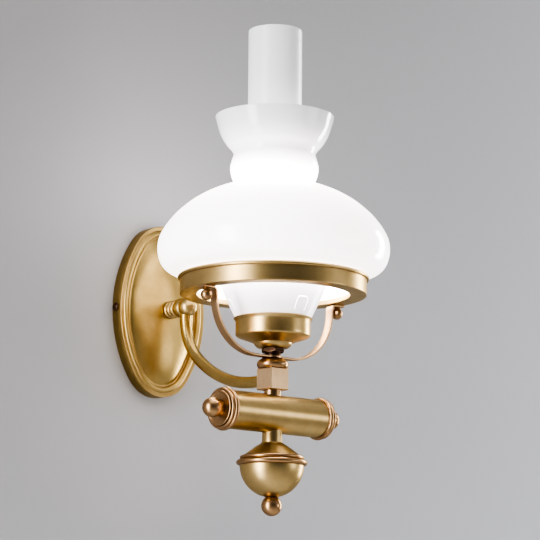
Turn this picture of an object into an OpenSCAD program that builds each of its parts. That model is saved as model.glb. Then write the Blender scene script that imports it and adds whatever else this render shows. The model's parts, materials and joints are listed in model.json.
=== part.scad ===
// Wall lamp: an oval wall plate carries a curved tube arm that ends in a square block.
// Above the block stand the bow, the shade ring, the cup, the glass shade and the chimney.
// Below the block hang a level barrel with ball knobs and a bowl with a ball finial.
// Sizes are in millimetres. The origin is the centre of the wall plate's back, on the wall.
// X runs to the right when facing the wall, Y runs into the wall and Z is up.
// So the lamp stands on the negative Y side of the plane Y = 0.

/* [Wall plate] */

// Width of the oval wall plate
plate_w = 93; // [84:1:104]
// Height of the oval wall plate
plate_h = 151; // [136:1:172]
// Radius of the oval's top and bottom ends
plate_end_r = 33; // [30:1:36]
// Depth of the plate's side wall, out from the wall
plate_side = 12; // [11:0.5:14]
// Distance of the flat crown from the wall
plate_crown = 21; // [19:0.5:24]
// Thickness of the plate's sheet
plate_t = 1.2; // [0.8:0.1:1.5]
// Width of the land behind the front edge
rim_land = 2.4; // [2:0.2:3]
// Radius of the raised bead inside the rim
rim_bead_r = 2.9; // [2.3:0.1:3.1]
// Diameter of the screws in the plate's two sides
side_screw_d = 3.9; // [3:0.1:4.5]
// Diameter of the side screws' domed heads
side_head_d = 7; // [6:0.2:8]

/* [Wall bracket] */

// Thickness of the bracket's sheet
bracket_t = 2; // [1.5:0.1:2.5]
// Height of the bracket's level strip
bracket_h = 24; // [20:1:28]
// Width of the bracket's upright strip
bracket_w = 28; // [24:1:32]
// Length of the bracket's upright strip
bracket_l = 84; // [76:1:90]
// Distance between the two wall screws
wall_pitch = 54; // [48:1:58]
// Diameter of the wall screw holes
wall_hole_d = 5; // [4:0.2:6]
// Length of the slots for the wall screws, end to end
wall_slot_l = 11; // [8:0.5:12]
// Diameter of the hole where the house cable comes through
entry_d = 12; // [9:0.5:14]

/* [Arm] */

// Distance from the wall to the lamp's upright axis
reach = 159; // [145:1:176]
// Distance from the wall to the arm's upright start
arm_out = 43.5; // [42:0.5:47]
// Outside diameter of the arm tube
tube_d = 10; // [9:0.1:10.4]
// Wall thickness of the arm tube
tube_t = 1; // [0.8:0.1:1.3]
// Height of the arm's straight start, down from the knuckle's centre
arm_start = 8.4; // [8:0.2:13]
// Radius of the arm's first, tighter bend
arm_bend_r = 50; // [42:1:58]
// Angle of the arm's first bend
arm_bend_a = 50; // [45:1:55]
// Length of the straight end before the block
arm_tail = 13; // [8:0.5:18]
// Outside radius of the ribbed collar on the plate
collar_r = 7.8; // [7:0.1:9]
// Length of the ribbed collar
collar_l = 12.7; // [11.5:0.1:13.5]
// Radius of the knuckle's inner ball
knuckle_r = 8.4; // [7.6:0.1:9.4]
// Radius of the knuckle's outer ball, which takes the tube
socket_r = 8.2; // [7.8:0.1:9.4]
// Diameter of the cable inside the arm
cable_d = 5.4; // [4:0.1:5.8]
// Width of the square block
block_w = 19; // [17:0.5:22]
// Height of the square block
block_h = 18; // [17:0.5:22]
// Chamfer on the block's edges
block_c = 0.6; // [0.3:0.1:1]

/* [Stem and bow] */

// Outside diameter of the hollow threaded stems
stem_d = 10; // [9.2:0.1:10.2]
// Bore of the hollow threaded stems
stem_bore = 7; // [6.4:0.1:7.4]
// Radius of the bead collar on the block
bead_r = 13.2; // [11.5:0.1:15.5]
// Height of the bead collar
bead_h = 8.7; // [7.5:0.1:10]
// Thickness of the bow's flat strip
bow_t = 1.8; // [1.4:0.1:2.4]
// Width of the bow's flat strip
bow_w = 8; // [6.5:0.5:10]
// Radius of the bow's two large bends
bow_r = 45; // [38:1:46]
// Height from the bow's foot down to its lowest point
bow_h = 52.6; // [51:0.2:60]
// Width across flats of the hexagon nut
nut_af = 17; // [14:0.5:20]
// Height of the hexagon nut with its round foot
nut_h = 6; // [5.4:0.2:8]

/* [Shade ring] */

// Outside radius of the shade ring
ring_r = 77.8; // [72:0.2:84]
// Height of the shade ring with its top bead
ring_h = 15.8; // [13:0.2:19]
// Radius of the opening in the shade ring
ring_open_r = 63.8; // [60:0.2:68]
// Thickness of the ring's sheet
ring_t = 1.4; // [1:0.1:1.8]
// Radius of the rolled bead along the ring's top
ring_bead_r = 1.6; // [1.2:0.1:2]
// Height of the lip around the opening
ring_lip_h = 4.6; // [3:0.2:6]
// Radius of the ball heads under the bow's feet
ball_screw_r = 4.9; // [4.2:0.1:5.4]

/* [Cup, cone and lamp holder] */

// Outside radius of the cup
cup_r = 31.2; // [28:0.2:36]
// Height of the cup
cup_h = 25.2; // [23:0.2:30]
// Thickness of the cup's sheet
cup_t = 1; // [0.8:0.1:1.3]
// Slope of the cone, growth of radius for each millimetre of height
cone_slope = 0.475; // [0.4:0.005:0.55]
// Height of the cone above the cup's rim
cone_h = 41; // [34:0.5:46]
// Thickness of the cone's sheet
cone_t = 0.9; // [0.7:0.1:1.4]
// Width of the tongues that are cut into the cone
tongue_w = 12; // [9:0.5:14]
// Width of the slit around each tongue
slit_w = 0.8; // [0.6:0.1:1.2]
// Outside radius of the lamp holder's cap
holder_r = 14.5; // [14:0.1:16]
// Height of the lamp holder's cap
holder_cap_h = 22.2; // [20:0.2:26]
// Height of the lamp holder above its cap
holder_up = 29; // [26:0.5:34]
// Diameter of the bulb's screw cap
bulb_cap_d = 13.9; // [13:0.1:14]

/* [Chimney and bulb] */

// Outside radius of the glass chimney
chimney_r = 22.7; // [20.5:0.1:26]
// Thickness of the chimney's glass
chimney_t = 2; // [1.5:0.1:2.5]
// Length of the glass chimney
chimney_l = 248; // [205:1:295]
// Largest radius of the bulb
bulb_r = 17.5; // [15:0.1:18]
// Length of the bulb's glass
bulb_l = 99; // [85:1:110]

/* [Glass shade] */

// Height of the shade above its ring
shade_h = 135.2; // [115:0.2:160]
// Thickness of the shade's glass
shade_t = 3; // [2.2:0.1:3.6]
// Largest radius of the shade
shade_r = 97; // [92:0.5:110]
// Radius of the shade's narrow waist
waist_r = 34.3; // [30:0.1:38]
// Radius of the shade's open top
mouth_r = 50.2; // [45:0.2:58]

/* [Barrel] */

// Radius of the level barrel
barrel_r = 16; // [14:0.2:19]
// Length of the barrel's tube
barrel_l = 102; // [85:1:122]
// Thickness of the barrel's sheet
barrel_t = 1.2; // [0.8:0.1:1.8]
// Gap between the block and the barrel
barrel_drop = 3.6; // [2.5:0.1:6]
// Height that the barrel's end flanges stand over the tube
flange_over = 2; // [1.2:0.1:3]
// Radius of the dished discs outside the flanges
disc_r = 14.5; // [12.5:0.1:15.2]
// Radius of the ball knobs
knob_r = 8.1; // [7.5:0.1:9.4]

/* [Bowl] */

// Radius of the short neck over the bowl
bowl_neck_r = 8.3; // [7.2:0.1:10]
// Height of the short neck over the bowl
bowl_neck_h = 7.8; // [5:0.1:10]
// Radius of the bowl's round body
bowl_r = 26.5; // [23:0.1:31]
// Thickness of the bowl's sheet
bowl_t = 1.2; // [0.8:0.1:1.6]
// Height of the bowl's cone-shaped cover
cover_h = 14.3; // [12:0.1:18]
// Height that the rim bead stands out from the bowl
bowl_bead = 2.9; // [2.4:0.1:3.8]
// Radius of the ball finial
finial_r = 8.5; // [7.5:0.1:10]

/* [Fits] */

// Radial clearance of a screw thread, or of a stud in its hole
thread_gap = 0.03; // [0.02:0.01:0.06]
// Radial clearance of a screw or stem in a plain hole
hole_gap = 0.15; // [0.1:0.05:0.3]
// Clearance between a glass and the metal around it
glass_gap = 0.4; // [0.3:0.1:0.8]
// Radial clearance of the bulb's cap in its shell
bulb_gap = 0.05; // [0.03:0.01:0.08]

/* [Hidden] */

$fn = 72;
e = 0.01;

// Oval of four arcs: the ends' centres lie above and below, the sides' centres left and right.
end_c = plate_h / 2 - plate_end_r;
side_gap = plate_w / 2 - plate_end_r;
side_c = (end_c * end_c - side_gap * side_gap) / (2 * side_gap);
side_r = plate_w / 2 + side_c;
join_a = atan2(end_c, side_c);

side_screw_z = plate_side / 2 - 1.2;

// Arm path in the plane X = 0, as distance from the wall and height.
tube_r = tube_d / 2;
tube_in = tube_r - tube_t;
stem_r = stem_d / 2;
bend2_r = (reach - block_w / 2 - arm_tail - arm_out - arm_bend_r * (1 - cos(arm_bend_a)))
    / cos(arm_bend_a);
bend1_d = arm_out + arm_bend_r * (1 - cos(arm_bend_a));
bend1_z = -arm_start - arm_bend_r * sin(arm_bend_a);
arm_end_d = bend1_d + bend2_r * cos(arm_bend_a);
block_z = bend1_z - bend2_r * (1 - sin(arm_bend_a));
socket_depth = 10;
tube_stop = tube_r + 0.2;

// Heights on the lamp's upright axis.
block_top = block_z + block_h / 2;
block_bot = block_z - block_h / 2;
bow_z = block_top + bead_h;
nut_z = bow_z + bow_t;
nut_foot_h = 2.6;
cup_z = nut_z + nut_h;
cup_rim = cup_z + cup_h;
ring_z = bow_z + bow_h;
floor_z = ring_z + ring_t;
holder_z = cup_z + cup_t;
gallery_z = holder_z + holder_cap_h;
holder_top = gallery_z + holder_up;
chimney_z = gallery_z + 1;
stem_top = holder_z + 5.7;

// Cone seated on the cup where the rim starts to flare.
flare_z = cup_rim - 2.8;
cone_seat_r = cup_r - cup_t - 0.12;
cone_bot = flare_z - 8;
cone_top = cup_rim + cone_h;
tongue_top = cup_rim + 15;
tongue_h = 12;

// Bow.
bow_eye_r = stem_r + 1.7;
bow_x = ring_open_r + 0.6;
foot_r = 3.5;
foot_x = ring_r - 0.8;
screw_x = (bow_x + foot_r + foot_x) / 2 - 0.5;
foot_z = ring_z - bow_t;

// Barrel and bowl.
barrel_z = block_bot - barrel_drop - barrel_r;
cross_w = 16;
cross_h = 16;
stud_r = 4;
flange_x = barrel_l / 2;
flange_l = 6.6;
disc_x = flange_x - 2.2 + flange_l;
knob_start = disc_x + 1.2;
knob_x = knob_start + 7.8;
bowl_neck_z = barrel_z - barrel_r - bowl_neck_h;
cover_bot = bowl_neck_z - cover_h;
bowl_bead_r = 2.2;
bowl_bead_z = cover_bot - bowl_bead_r;
bowl_c = bowl_bead_z - 2.2;
bowl_bot = bowl_c - bowl_r;
bowl_seat = bowl_r - sqrt(bowl_r * bowl_r - pow(stud_r + hole_gap, 2));
finial_z = bowl_bot - finial_r + 1.8;

// Colours.
brass = "#b0935a";
dark_brass = "#8a6a3c";
brushed = "#c2a67c";
steel = "#9c9c98";
white = "#f0eeea";
black = "#3a3632";

// Point on a smooth curve through p1 and p2, with p0 and p3 as its neighbours.
function curve(p0, p1, p2, p3, t) =
    0.5 * ((2 * p1) + (p2 - p0) * t + (2 * p0 - 5 * p1 + 4 * p2 - p3) * t * t
    + (3 * p1 - p0 - 3 * p2 + p3) * t * t * t);

// Smooth line through all points of p, with n steps for each pair.
function smooth(p, n) = [
    for (i = [0 : len(p) - 2])
        for (k = [0 : n - 1])
            curve(p[max(i - 1, 0)], p[i], p[i + 1], p[min(i + 2, len(p) - 1)], k / n),
    p[len(p) - 1]
];

function unit(v) = v / norm(v);

// Left-hand normal of the line p at point i.
function normal(p, i) =
    let (d = unit(p[min(i + 1, len(p) - 1)] - p[max(i - 1, 0)]))
    [-d[1], d[0]];

// Closed outline of a sheet: the line p and the same line moved by t to its left.
function sheet(p, t) = concat(p, [for (i = [len(p) - 1 : -1 : 0]) p[i] + t * normal(p, i)]);

// Turns drawings so that their height runs out from the wall.
module from_wall() {
    rotate([90, 0, 0]) children();
}

// Places children on the lamp's upright axis.
module on_axis(z = 0) {
    translate([0, -reach, z]) children();
}

// Ring or tube along Z.
module tube(r_out, r_in, h) {
    difference() {
        cylinder(r = r_out, h = h);
        translate([0, 0, -1]) cylinder(r = r_in, h = h + 2);
    }
}

// Hexagon nut along Z with its corners turned down.
module hex_nut(af, h, bore) {
    difference() {
        intersection() {
            cylinder(r = af / sqrt(3), h = h, $fn = 6);
            rotate_extrude()
                polygon([[0, 0], [af / 2, 0], [af / sqrt(3) + 0.2, 1], [af / sqrt(3) + 0.2, h - 1],
                    [af / 2, h], [0, h]]);
        }
        translate([0, 0, -1]) cylinder(r = bore, h = h + 2);
    }
}

// Section of the wall plate's curved dome, from its foot up to the flat crown.
valley_x = plate_end_r - 0.9 - rim_land;
plate_bead_x = valley_x - rim_bead_r;
dome_x = plate_bead_x - rim_bead_r - 1.1;
dome_y = plate_side - 1.2;
dome_line = [
    for (k = [0 : 9])
        let (u = k / 9)
        [dome_x - (dome_x - 5) * u, dome_y + (plate_crown - dome_y) * (1 - (1 - u) * (1 - u))]
];

// Section of the wall plate from its flat crown to its outer side, as a sheet open to the wall.
module plate_section() {
    rr = plate_end_r;
    t = plate_t;
    groove = plate_side - 1.6;
    difference() {
        union() {
            polygon(concat([[0, 0], [rr, 0], [rr, plate_side - 0.9], [rr - 0.9, plate_side],
                [valley_x, plate_side - 0.5], [valley_x - 0.8, groove], [dome_x, groove]], dome_line, [[0, plate_crown]]));
            translate([plate_bead_x, plate_side - 1.5]) circle(r = rim_bead_r);
        }
        polygon(concat([[-1, -1], [rr - t, -1], [rr - t, plate_side - 0.6 - t],
            [valley_x, plate_side - 0.6 - t], [valley_x - 0.8, groove - t], [dome_x - t, groove - t]],
            [for (q = dome_line) [q[0] - t * 0.7, q[1] - t]], [[-1, plate_crown - t]]));
    }
}

module wall_plate() {
    color(brass)
    from_wall()
    difference() {
        union() {
            for (s = [0, 180])
                rotate([0, 0, s]) translate([0, end_c, 0]) rotate([0, 0, join_a])
                    rotate_extrude(angle = 180 - 2 * join_a) plate_section();
            for (s = [0, 180])
                rotate([0, 0, s]) translate([-side_c, 0, 0]) rotate([0, 0, -join_a])
                    rotate_extrude(angle = 2 * join_a)
                        translate([side_r - plate_end_r, 0]) plate_section();
            translate([0, 0, plate_crown - plate_t])
                linear_extrude(plate_t)
                    intersection() {
                        translate([-side_c, 0]) circle(r = side_r - plate_end_r + 1.6);
                        translate([side_c, 0]) circle(r = side_r - plate_end_r + 1.6);
                    }
        }
        cylinder(r = stem_r + hole_gap, h = 40);
        for (s = [-1, 1])
            translate([s * plate_w / 2, 0, side_screw_z])
                rotate([0, 90, 0]) cylinder(r = side_screw_d / 2 + hole_gap, h = 12, center = true);
    }
}

module wall_bracket() {
    flange_out = plate_w / 2 - plate_t - 0.4;
    color(steel)
    from_wall()
    difference() {
        union() {
            translate([-flange_out + 3, -bracket_h / 2, 0])
                cube([2 * flange_out - 6, bracket_h, bracket_t]);
            translate([-bracket_w / 2, -bracket_l / 2, 0]) cube([bracket_w, bracket_l, bracket_t]);
            for (s = [-1, 1])
                translate([s * (flange_out - 2.5), 0, bracket_t / 2])
                    cube([5, 12, bracket_t], center = true);
            for (s = [-1, 1])
                translate([s * (flange_out - bracket_t / 2), 0, plate_side / 2 - 2.1])
                    cube([bracket_t, 12, plate_side - 4.2], center = true);
        }
        for (s = [-1, 1])
            translate([s * wall_pitch / 2, 0, -1])
                for (k = [-1, 1])
                    translate([k * (wall_slot_l - wall_hole_d) / 2, 0, 0])
                        cylinder(r = wall_hole_d / 2, h = 10);
        for (s = [-1, 1])
            translate([s * wall_pitch / 2, 0, bracket_t / 2])
                cube([wall_slot_l - wall_hole_d, wall_hole_d, bracket_t + 2], center = true);
        translate([0, 0, -1]) cylinder(r = entry_d / 2, h = 10);
        translate([0, 32, -1]) cylinder(r = 2 + thread_gap, h = 10);
        for (s = [-1, 1])
            translate([s * plate_w / 2, 0, side_screw_z])
                rotate([0, 90, 0]) cylinder(r = side_screw_d / 2 + thread_gap, h = 14, center = true);
    }
}

module plate_screws() {
    color(brass)
    from_wall()
    for (s = [0, 1])
        mirror([s, 0, 0])
            translate([plate_w / 2, 0, side_screw_z])
                rotate([0, 90, 0]) {
                    translate([0, 0, -7]) cylinder(r = side_screw_d / 2, h = 7 + e);
                    rotate_extrude()
                        intersection() {
                            translate([0, -side_head_d * 0.35]) circle(r = side_head_d * 0.61);
                            square([side_head_d, side_head_d]);
                        }
                }
}

module terminal_block() {
    color(white)
    translate([0, -bracket_t - 6, -30])
    difference() {
        cube([20, 12, 16], center = true);
        for (s = [-1, 0, 1])
            translate([s * 6.2, 0, 0]) cylinder(r = 1.6, h = 20, center = true);
        for (s = [-1, 0, 1])
            translate([s * 6.2, -4, 0]) rotate([90, 0, 0]) cylinder(r = 1.6, h = 6, center = true);
    }
}

module terminal_screws() {
    color(steel)
    translate([0, -bracket_t - 12.2, -30])
    for (s = [-1, 0, 1])
        translate([s * 6.2, 0, 0]) rotate([-90, 0, 0]) cylinder(r = 1.5, h = 3.6);
}

module earth_screw() {
    color(brass)
    from_wall()
    translate([0, 32, 0]) {
        cylinder(r = 2, h = bracket_t + e);
        translate([0, 0, bracket_t]) cylinder(r = 3.6, h = 2.4);
    }
}

module canopy_nipple() {
    color(brass)
    from_wall()
    translate([0, 0, plate_crown - plate_t - 7]) tube(stem_r, stem_bore / 2, collar_l + plate_t + 11);
}

module canopy_washer() {
    color(steel)
    from_wall()
    translate([0, 0, plate_crown - plate_t - 1.4]) tube(9, stem_r + hole_gap, 1.4);
}

module canopy_nut() {
    color(steel)
    from_wall()
    translate([0, 0, plate_crown - plate_t - 5.4]) hex_nut(14, 4, stem_r + thread_gap);
}

// Collar with three round ribs between the plate and the knuckle.
module arm_collar() {
    rib = collar_l / 6;
    color(brass)
    from_wall()
    translate([0, 0, plate_crown])
        rotate_extrude()
            difference() {
                union() {
                    translate([stem_r + hole_gap, 0]) square([collar_r - rib - stem_r, collar_l]);
                    for (k = [0 : 2])
                        translate([collar_r - rib, rib * (1 + 2 * k)]) circle(r = rib, $fn = 32);
                }
                translate([0, -1]) square([stem_r + hole_gap, collar_l + 2]);
            }
}

// Two joined balls: the inner one meets the collar, the outer one takes the tube from below.
module arm_knuckle() {
    start = plate_crown + collar_l;
    ball_d = start + knuckle_r * 0.56;
    color(brass)
    difference() {
        from_wall()
            rotate_extrude()
                intersection() {
                    union() {
                        translate([0, ball_d]) circle(r = knuckle_r);
                        translate([0, arm_out + 2.8]) circle(r = socket_r);
                    }
                    translate([0, start]) square([20, 60]);
                }
        translate([0, -arm_out, -socket_r - 2])
            cylinder(r = tube_r + thread_gap, h = socket_r + 2 - 4.4);
        translate([0, -arm_out, -6]) cylinder(r = stem_bore / 2, h = 6 + stem_bore / 2);
        from_wall() {
            translate([0, 0, start - 1]) cylinder(r = stem_r + thread_gap, h = 5.2);
            cylinder(r = stem_bore / 2, h = arm_out);
        }
    }
}

// Solid rod along the arm's path, from top below the knuckle's centre to tail past the last bend.
module arm_path(r, top, tail) {
    translate([0, -arm_out, -arm_start]) cylinder(r = r, h = arm_start - top);
    translate([0, -arm_out - arm_bend_r, -arm_start]) bend_piece(arm_bend_r, 0, arm_bend_a, r);
    translate([0, -bend1_d - bend2_r * cos(arm_bend_a), bend1_z + bend2_r * sin(arm_bend_a)])
        bend_piece(bend2_r, arm_bend_a, 90 - arm_bend_a, r);
    translate([0, -arm_end_d, block_z]) rotate([90, 0, 0]) cylinder(r = r, h = tail);
    seam(r, arm_out, -arm_start, 0);
    seam(r, bend1_d, bend1_z, -arm_bend_a);
    seam(r, arm_end_d, block_z, -90);
}

// Thin band over a joint between two lengths of the arm's path.
module seam(r, d, z, a) {
    translate([0, -d, z]) rotate([a, 0, 0]) cylinder(r = r + 0.02, h = 0.8, center = true);
}

// Bend in the plane X = 0 around an axis along X, starting a degrees below the level.
module bend_piece(bend, a, sweep, r) {
    rotate([0, 90, 0]) rotate([0, 0, 90 - a - sweep])
        rotate_extrude(angle = sweep)
            translate([bend, 0]) circle(r = r, $fn = 48);
}

module arm_tube() {
    color(brass)
    difference() {
        arm_path(tube_r, 4.5, reach - arm_end_d - tube_stop);
        arm_path(tube_in, 3.5, reach - arm_end_d - tube_stop + 1);
    }
}

// Cable from the terminal block through the plate, the arm and the block to the lamp holder.
module lamp_cable() {
    r = cable_d / 2;
    back_d = bracket_t + 6;
    color(black)
    union() {
        arm_path(r, -r, reach - arm_end_d + 1);
        from_wall()
            translate([0, 0, back_d - 1]) cylinder(r = r + 0.15, h = arm_out - back_d + 2);
        translate([0, -back_d, -22]) cylinder(r = r, h = 22 + r);
        on_axis(block_z - r) cylinder(r = r + 0.15, h = stem_top + 3 - block_z + r);
    }
}

module arm_block() {
    w = block_w / 2;
    color(brushed)
    on_axis(block_z)
    difference() {
        intersection() {
            translate([0, 0, -block_h / 2]) linear_extrude(block_h) chamfered(block_w, block_w);
            rotate([90, 0, 0]) translate([0, 0, -w]) linear_extrude(block_w) chamfered(block_w, block_h);
            rotate([90, 0, 90]) translate([0, 0, -w]) linear_extrude(block_w) chamfered(block_w, block_h);
        }
        cylinder(r = stem_r + thread_gap, h = block_h + 2, center = true);
        translate([0, tube_stop - 0.05, 0])
            rotate([-90, 0, 0]) cylinder(r = tube_r + thread_gap, h = block_w);
        rotate([-90, 0, 0]) cylinder(r = stem_bore / 2, h = block_w);
    }
}

// Rectangle w by h with cut corners, centred.
module chamfered(w, h) {
    a = w / 2;
    b = h / 2;
    c = block_c;
    polygon([[-a + c, -b], [a - c, -b], [a, -b + c], [a, b - c], [a - c, b], [-a + c, b],
        [-a, b - c], [-a, -b + c]]);
}

module bead_collar() {
    h = bead_h;
    color(brass)
    on_axis(block_top)
    rotate_extrude()
        difference() {
            polygon(concat([[0, 0]], smooth([[bead_r - 1.6, 0], [bead_r - 0.7, h * 0.12],
                [bead_r - 0.1, h * 0.28], [bead_r, h * 0.43], [bead_r - 0.5, h * 0.6],
                [bead_r - 1.7, h * 0.77], [bead_r - 3.2, h * 0.9], [bead_r - 4.8, h]], 2), [[0, h]]));
            translate([0, -1]) square([stem_r + hole_gap, h + 2]);
        }
}

module stem_nipple() {
    z0 = block_z + tube_r + 0.6;
    color(dark_brass)
    on_axis(z0) tube(stem_r, stem_bore / 2, stem_top - z0);
}

// Thin hexagon nut on a round foot that stands on the bow.
module stem_nut() {
    color(black)
    on_axis(nut_z) {
        tube(stem_r + 1.4, stem_r + thread_gap, nut_foot_h + e);
        translate([0, 0, nut_foot_h]) hex_nut(nut_af, nut_h - nut_foot_h, stem_r + thread_gap);
    }
}

// Half of the bow's outline, seen from the front.
module bow_half() {
    o = bow_x;
    cx = o - bow_r;
    square([cx, bow_t]);
    translate([cx, bow_r])
        intersection() {
            difference() {
                circle(r = bow_r);
                circle(r = bow_r - bow_t);
            }
            translate([0, -bow_r - 1]) square([bow_r + 1, bow_r + 1]);
        }
    translate([o - bow_t, bow_r]) square([bow_t, bow_h - bow_r - bow_t - foot_r]);
    translate([o + foot_r, bow_h - bow_t - foot_r])
        intersection() {
            difference() {
                circle(r = foot_r + bow_t, $fn = 40);
                circle(r = foot_r, $fn = 40);
            }
            translate([-9, 0]) square([9, 9]);
        }
    translate([o + foot_r, bow_h - bow_t]) square([foot_x - o - foot_r, bow_t]);
}

module ring_bow() {
    color(brushed)
    on_axis(bow_z)
    difference() {
        union() {
            rotate([90, 0, 0])
                translate([0, 0, -bow_w / 2])
                    linear_extrude(bow_w)
                        union() {
                            bow_half();
                            mirror([1, 0]) bow_half();
                        }
            cylinder(r = bow_eye_r, h = bow_t);
        }
        cylinder(r = stem_r + hole_gap, h = 12, center = true);
        for (s = [-1, 1])
            translate([s * screw_x, 0, bow_h - 4]) cylinder(r = 1.9 + hole_gap, h = 8);
    }
}

// Upright screws with ball heads that hold the bow's feet to the ring.
module ring_screws() {
    ball_z = -ball_screw_r - 0.7;
    color(dark_brass)
    on_axis(foot_z)
    for (s = [-1, 1])
        translate([s * screw_x, 0, 0])
            rotate_extrude()
                union() {
                    intersection() {
                        translate([0, ball_z]) circle(r = ball_screw_r);
                        translate([0, -20]) square([20, 20]);
                    }
                    translate([0, ball_z]) square([2.7, -ball_z]);
                    translate([0, -1]) square([1.9, bow_t + ring_t + 0.8]);
                }
}

module shade_ring() {
    bead_c = ring_r + 2 - ring_bead_r;
    color(brass)
    on_axis(ring_z)
    difference() {
        rotate_extrude()
            union() {
                polygon([[ring_open_r, 0], [ring_r - 1, 0], [ring_r, 1],
                    [ring_r, ring_h - ring_bead_r], [ring_r - ring_t, ring_h - ring_bead_r],
                    [ring_r - ring_t, ring_t], [ring_open_r + ring_t, ring_t],
                    [ring_open_r + ring_t, ring_lip_h], [ring_open_r, ring_lip_h]]);
                translate([bead_c, ring_h - ring_bead_r]) circle(r = ring_bead_r, $fn = 32);
            }
        for (s = [-1, 1])
            translate([s * screw_x, 0, -2]) cylinder(r = 1.9 + thread_gap, h = ring_t + 4);
    }
}

// Outer line of the cup, from the floor to the rim, as radius and height.
function cup_line() = [
    [10.6, 0], [12.3, 0.5], [13.8, 1.4], [15, 2.6], [15.7, 3.7], [16.1, 4.7], [17.4, 5.3],
    [cup_r - 10, 6.6], [cup_r - 5.6, 8.1], [cup_r - 1.4, 9.6], [cup_r - 0.4, 10.3], [cup_r, 11.3],
    [cup_r, cup_h - 2.8], [cup_r + 0.7, cup_h - 1.6], [cup_r + 1.9, cup_h]
];

module burner_cup() {
    color(brass)
    on_axis(cup_z)
    rotate_extrude()
        union() {
            translate([stem_r + hole_gap, 0]) square([10.6 - stem_r - hole_gap, cup_t]);
            polygon(sheet(cup_line(), cup_t));
        }
}

function cone_r(z) = cone_seat_r + cone_slope * (z - flare_z);

// Slit around a tongue, seen from the front.
module tongue_slit() {
    difference() {
        rounded(tongue_w, tongue_h, 3);
        rounded(tongue_w - 2 * slit_w, tongue_h - 2 * slit_w, 3 - slit_w);
        translate([-tongue_w, -tongue_h]) square([2 * tongue_w, tongue_h - tongue_h / 2 + 1]);
    }
}

// Rectangle w by h with round corners of radius r, centred.
module rounded(w, h, r) {
    square([w - 2 * r, h], center = true);
    square([w, h - 2 * r], center = true);
    for (sx = [-1, 1], sy = [-1, 1])
        translate([sx * (w / 2 - r), sy * (h / 2 - r)]) circle(r = r, $fn = 32);
}

module burner_cone() {
    color(white)
    on_axis()
    difference() {
        rotate_extrude()
            polygon([[holder_r + 2, cone_bot], [cone_r(cone_bot), cone_bot],
                [cone_r(cone_top), cone_top], [cone_r(cone_top) - cone_t * 1.1, cone_top],
                [cone_r(cone_bot) - cone_t * 0.6, cone_bot + cone_t],
                [holder_r + 2, cone_bot + cone_t]]);
        for (a = [0, 120, 240])
            rotate([0, 0, a])
                translate([0, 0, tongue_top - tongue_h / 2])
                    rotate([90, 0, 0]) translate([0, 0, cup_r - 2]) linear_extrude(20) tongue_slit();
    }
}

module holder_cap() {
    color(black)
    on_axis(holder_z)
    rotate_extrude()
        polygon([[stem_r + thread_gap, 0], [9, 0], [9, 3.6], [holder_r, 6.4],
            [holder_r, holder_cap_h], [holder_r - 1.2, holder_cap_h], [holder_r - 1.2, 7.2],
            [8, 5], [stem_r + thread_gap, 5]]);
}

module holder_body() {
    r = holder_r - 1.3;
    bore = bulb_cap_d / 2 + bulb_gap + 1.1;
    color(white)
    on_axis(gallery_z)
    rotate_extrude()
        polygon([[0, -holder_cap_h + 8.8], [r, -holder_cap_h + 8.8], [r, -0.2], [r - 0.6, -0.2],
            [r - 0.6, holder_up], [bore, holder_up], [bore, 1.6], [0, 1.6]]);
}

module holder_thread() {
    r = bulb_cap_d / 2 + bulb_gap;
    color(brass)
    on_axis(gallery_z + 6) tube(r + 1.05, r, holder_up - 8);
}

module holder_contact() {
    color(brass)
    on_axis(gallery_z + 1.6)
    rotate_extrude()
        polygon([[0, 0], [5, 0], [5, 0.6], [2.4, 0.6], [2.4, 1.4], [0, 1.4]]);
}

// Ring that clamps the chimney's gallery on the lamp holder.
module holder_ring() {
    r = holder_r - 1.9;
    color(black)
    on_axis(gallery_z + 1)
    difference() {
        tube(r + 4, r + 0.05, 5);
        for (a = [0 : 30 : 330])
            rotate([0, 0, a]) translate([r + 4.2, 0, -1]) cylinder(r = 0.8, h = 8, $fn = 16);
    }
}

// Plate with four upright springs that hold the foot of the chimney.
module chimney_gallery() {
    inner = chimney_r + glass_gap;
    color(brass)
    on_axis(gallery_z)
    union() {
        tube(inner + 1.1, holder_r - 1.8, 1);
        for (a = [0 : 90 : 270])
            rotate([0, 0, a + 30])
                rotate_extrude(angle = 30)
                    polygon([[inner, 0.4], [inner + 0.8, 0.4], [inner + 0.8, 12],
                        [inner + 2, 14], [inner + 1.2, 14.4], [inner, 12.2]]);
    }
}

module chimney() {
    color("#f4f2ee", 0.6)
    on_axis(chimney_z)
    rotate_extrude()
        polygon([[chimney_r - chimney_t, 0.4], [chimney_r - chimney_t + 0.4, 0], [chimney_r - 0.4, 0],
            [chimney_r, 0.4], [chimney_r, chimney_l - 0.6], [chimney_r - 0.6, chimney_l],
            [chimney_r - chimney_t + 0.6, chimney_l], [chimney_r - chimney_t, chimney_l - 0.6]]);
}

module bulb_glass() {
    k = bulb_l / 99;
    line = smooth([[6.4, 0], [7.2, 6 * k], [10.4, 16 * k], [bulb_r - 2.2, 28 * k],
        [bulb_r, 41 * k], [bulb_r - 2, 56 * k], [bulb_r - 6.5, 72 * k], [6, 86 * k],
        [2.8, 95 * k], [0, 99 * k]], 2);
    color("#fff3dc")
    on_axis(holder_top + 2)
    rotate_extrude()
        difference() {
            polygon(concat([[0, 0]], line));
            intersection() {
                translate([-1, -1.2]) polygon(concat([[0, 4]], [for (p = line) [p[0], p[1] + 0.2]]));
                translate([0, 2]) square([40, 200]);
            }
        }
}

module bulb_cap() {
    r = bulb_cap_d / 2;
    color(steel)
    on_axis(gallery_z + 3.1)
    rotate_extrude()
        polygon([[0, 0], [2.6, 0], [3.4, 0.8], [3.4, 1.6], [r - 0.6, 3.4], [r, 4.4],
            [r, holder_up - 3.1], [7.6, holder_up - 1.1], [0, holder_up - 1.1]]);
}

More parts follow.
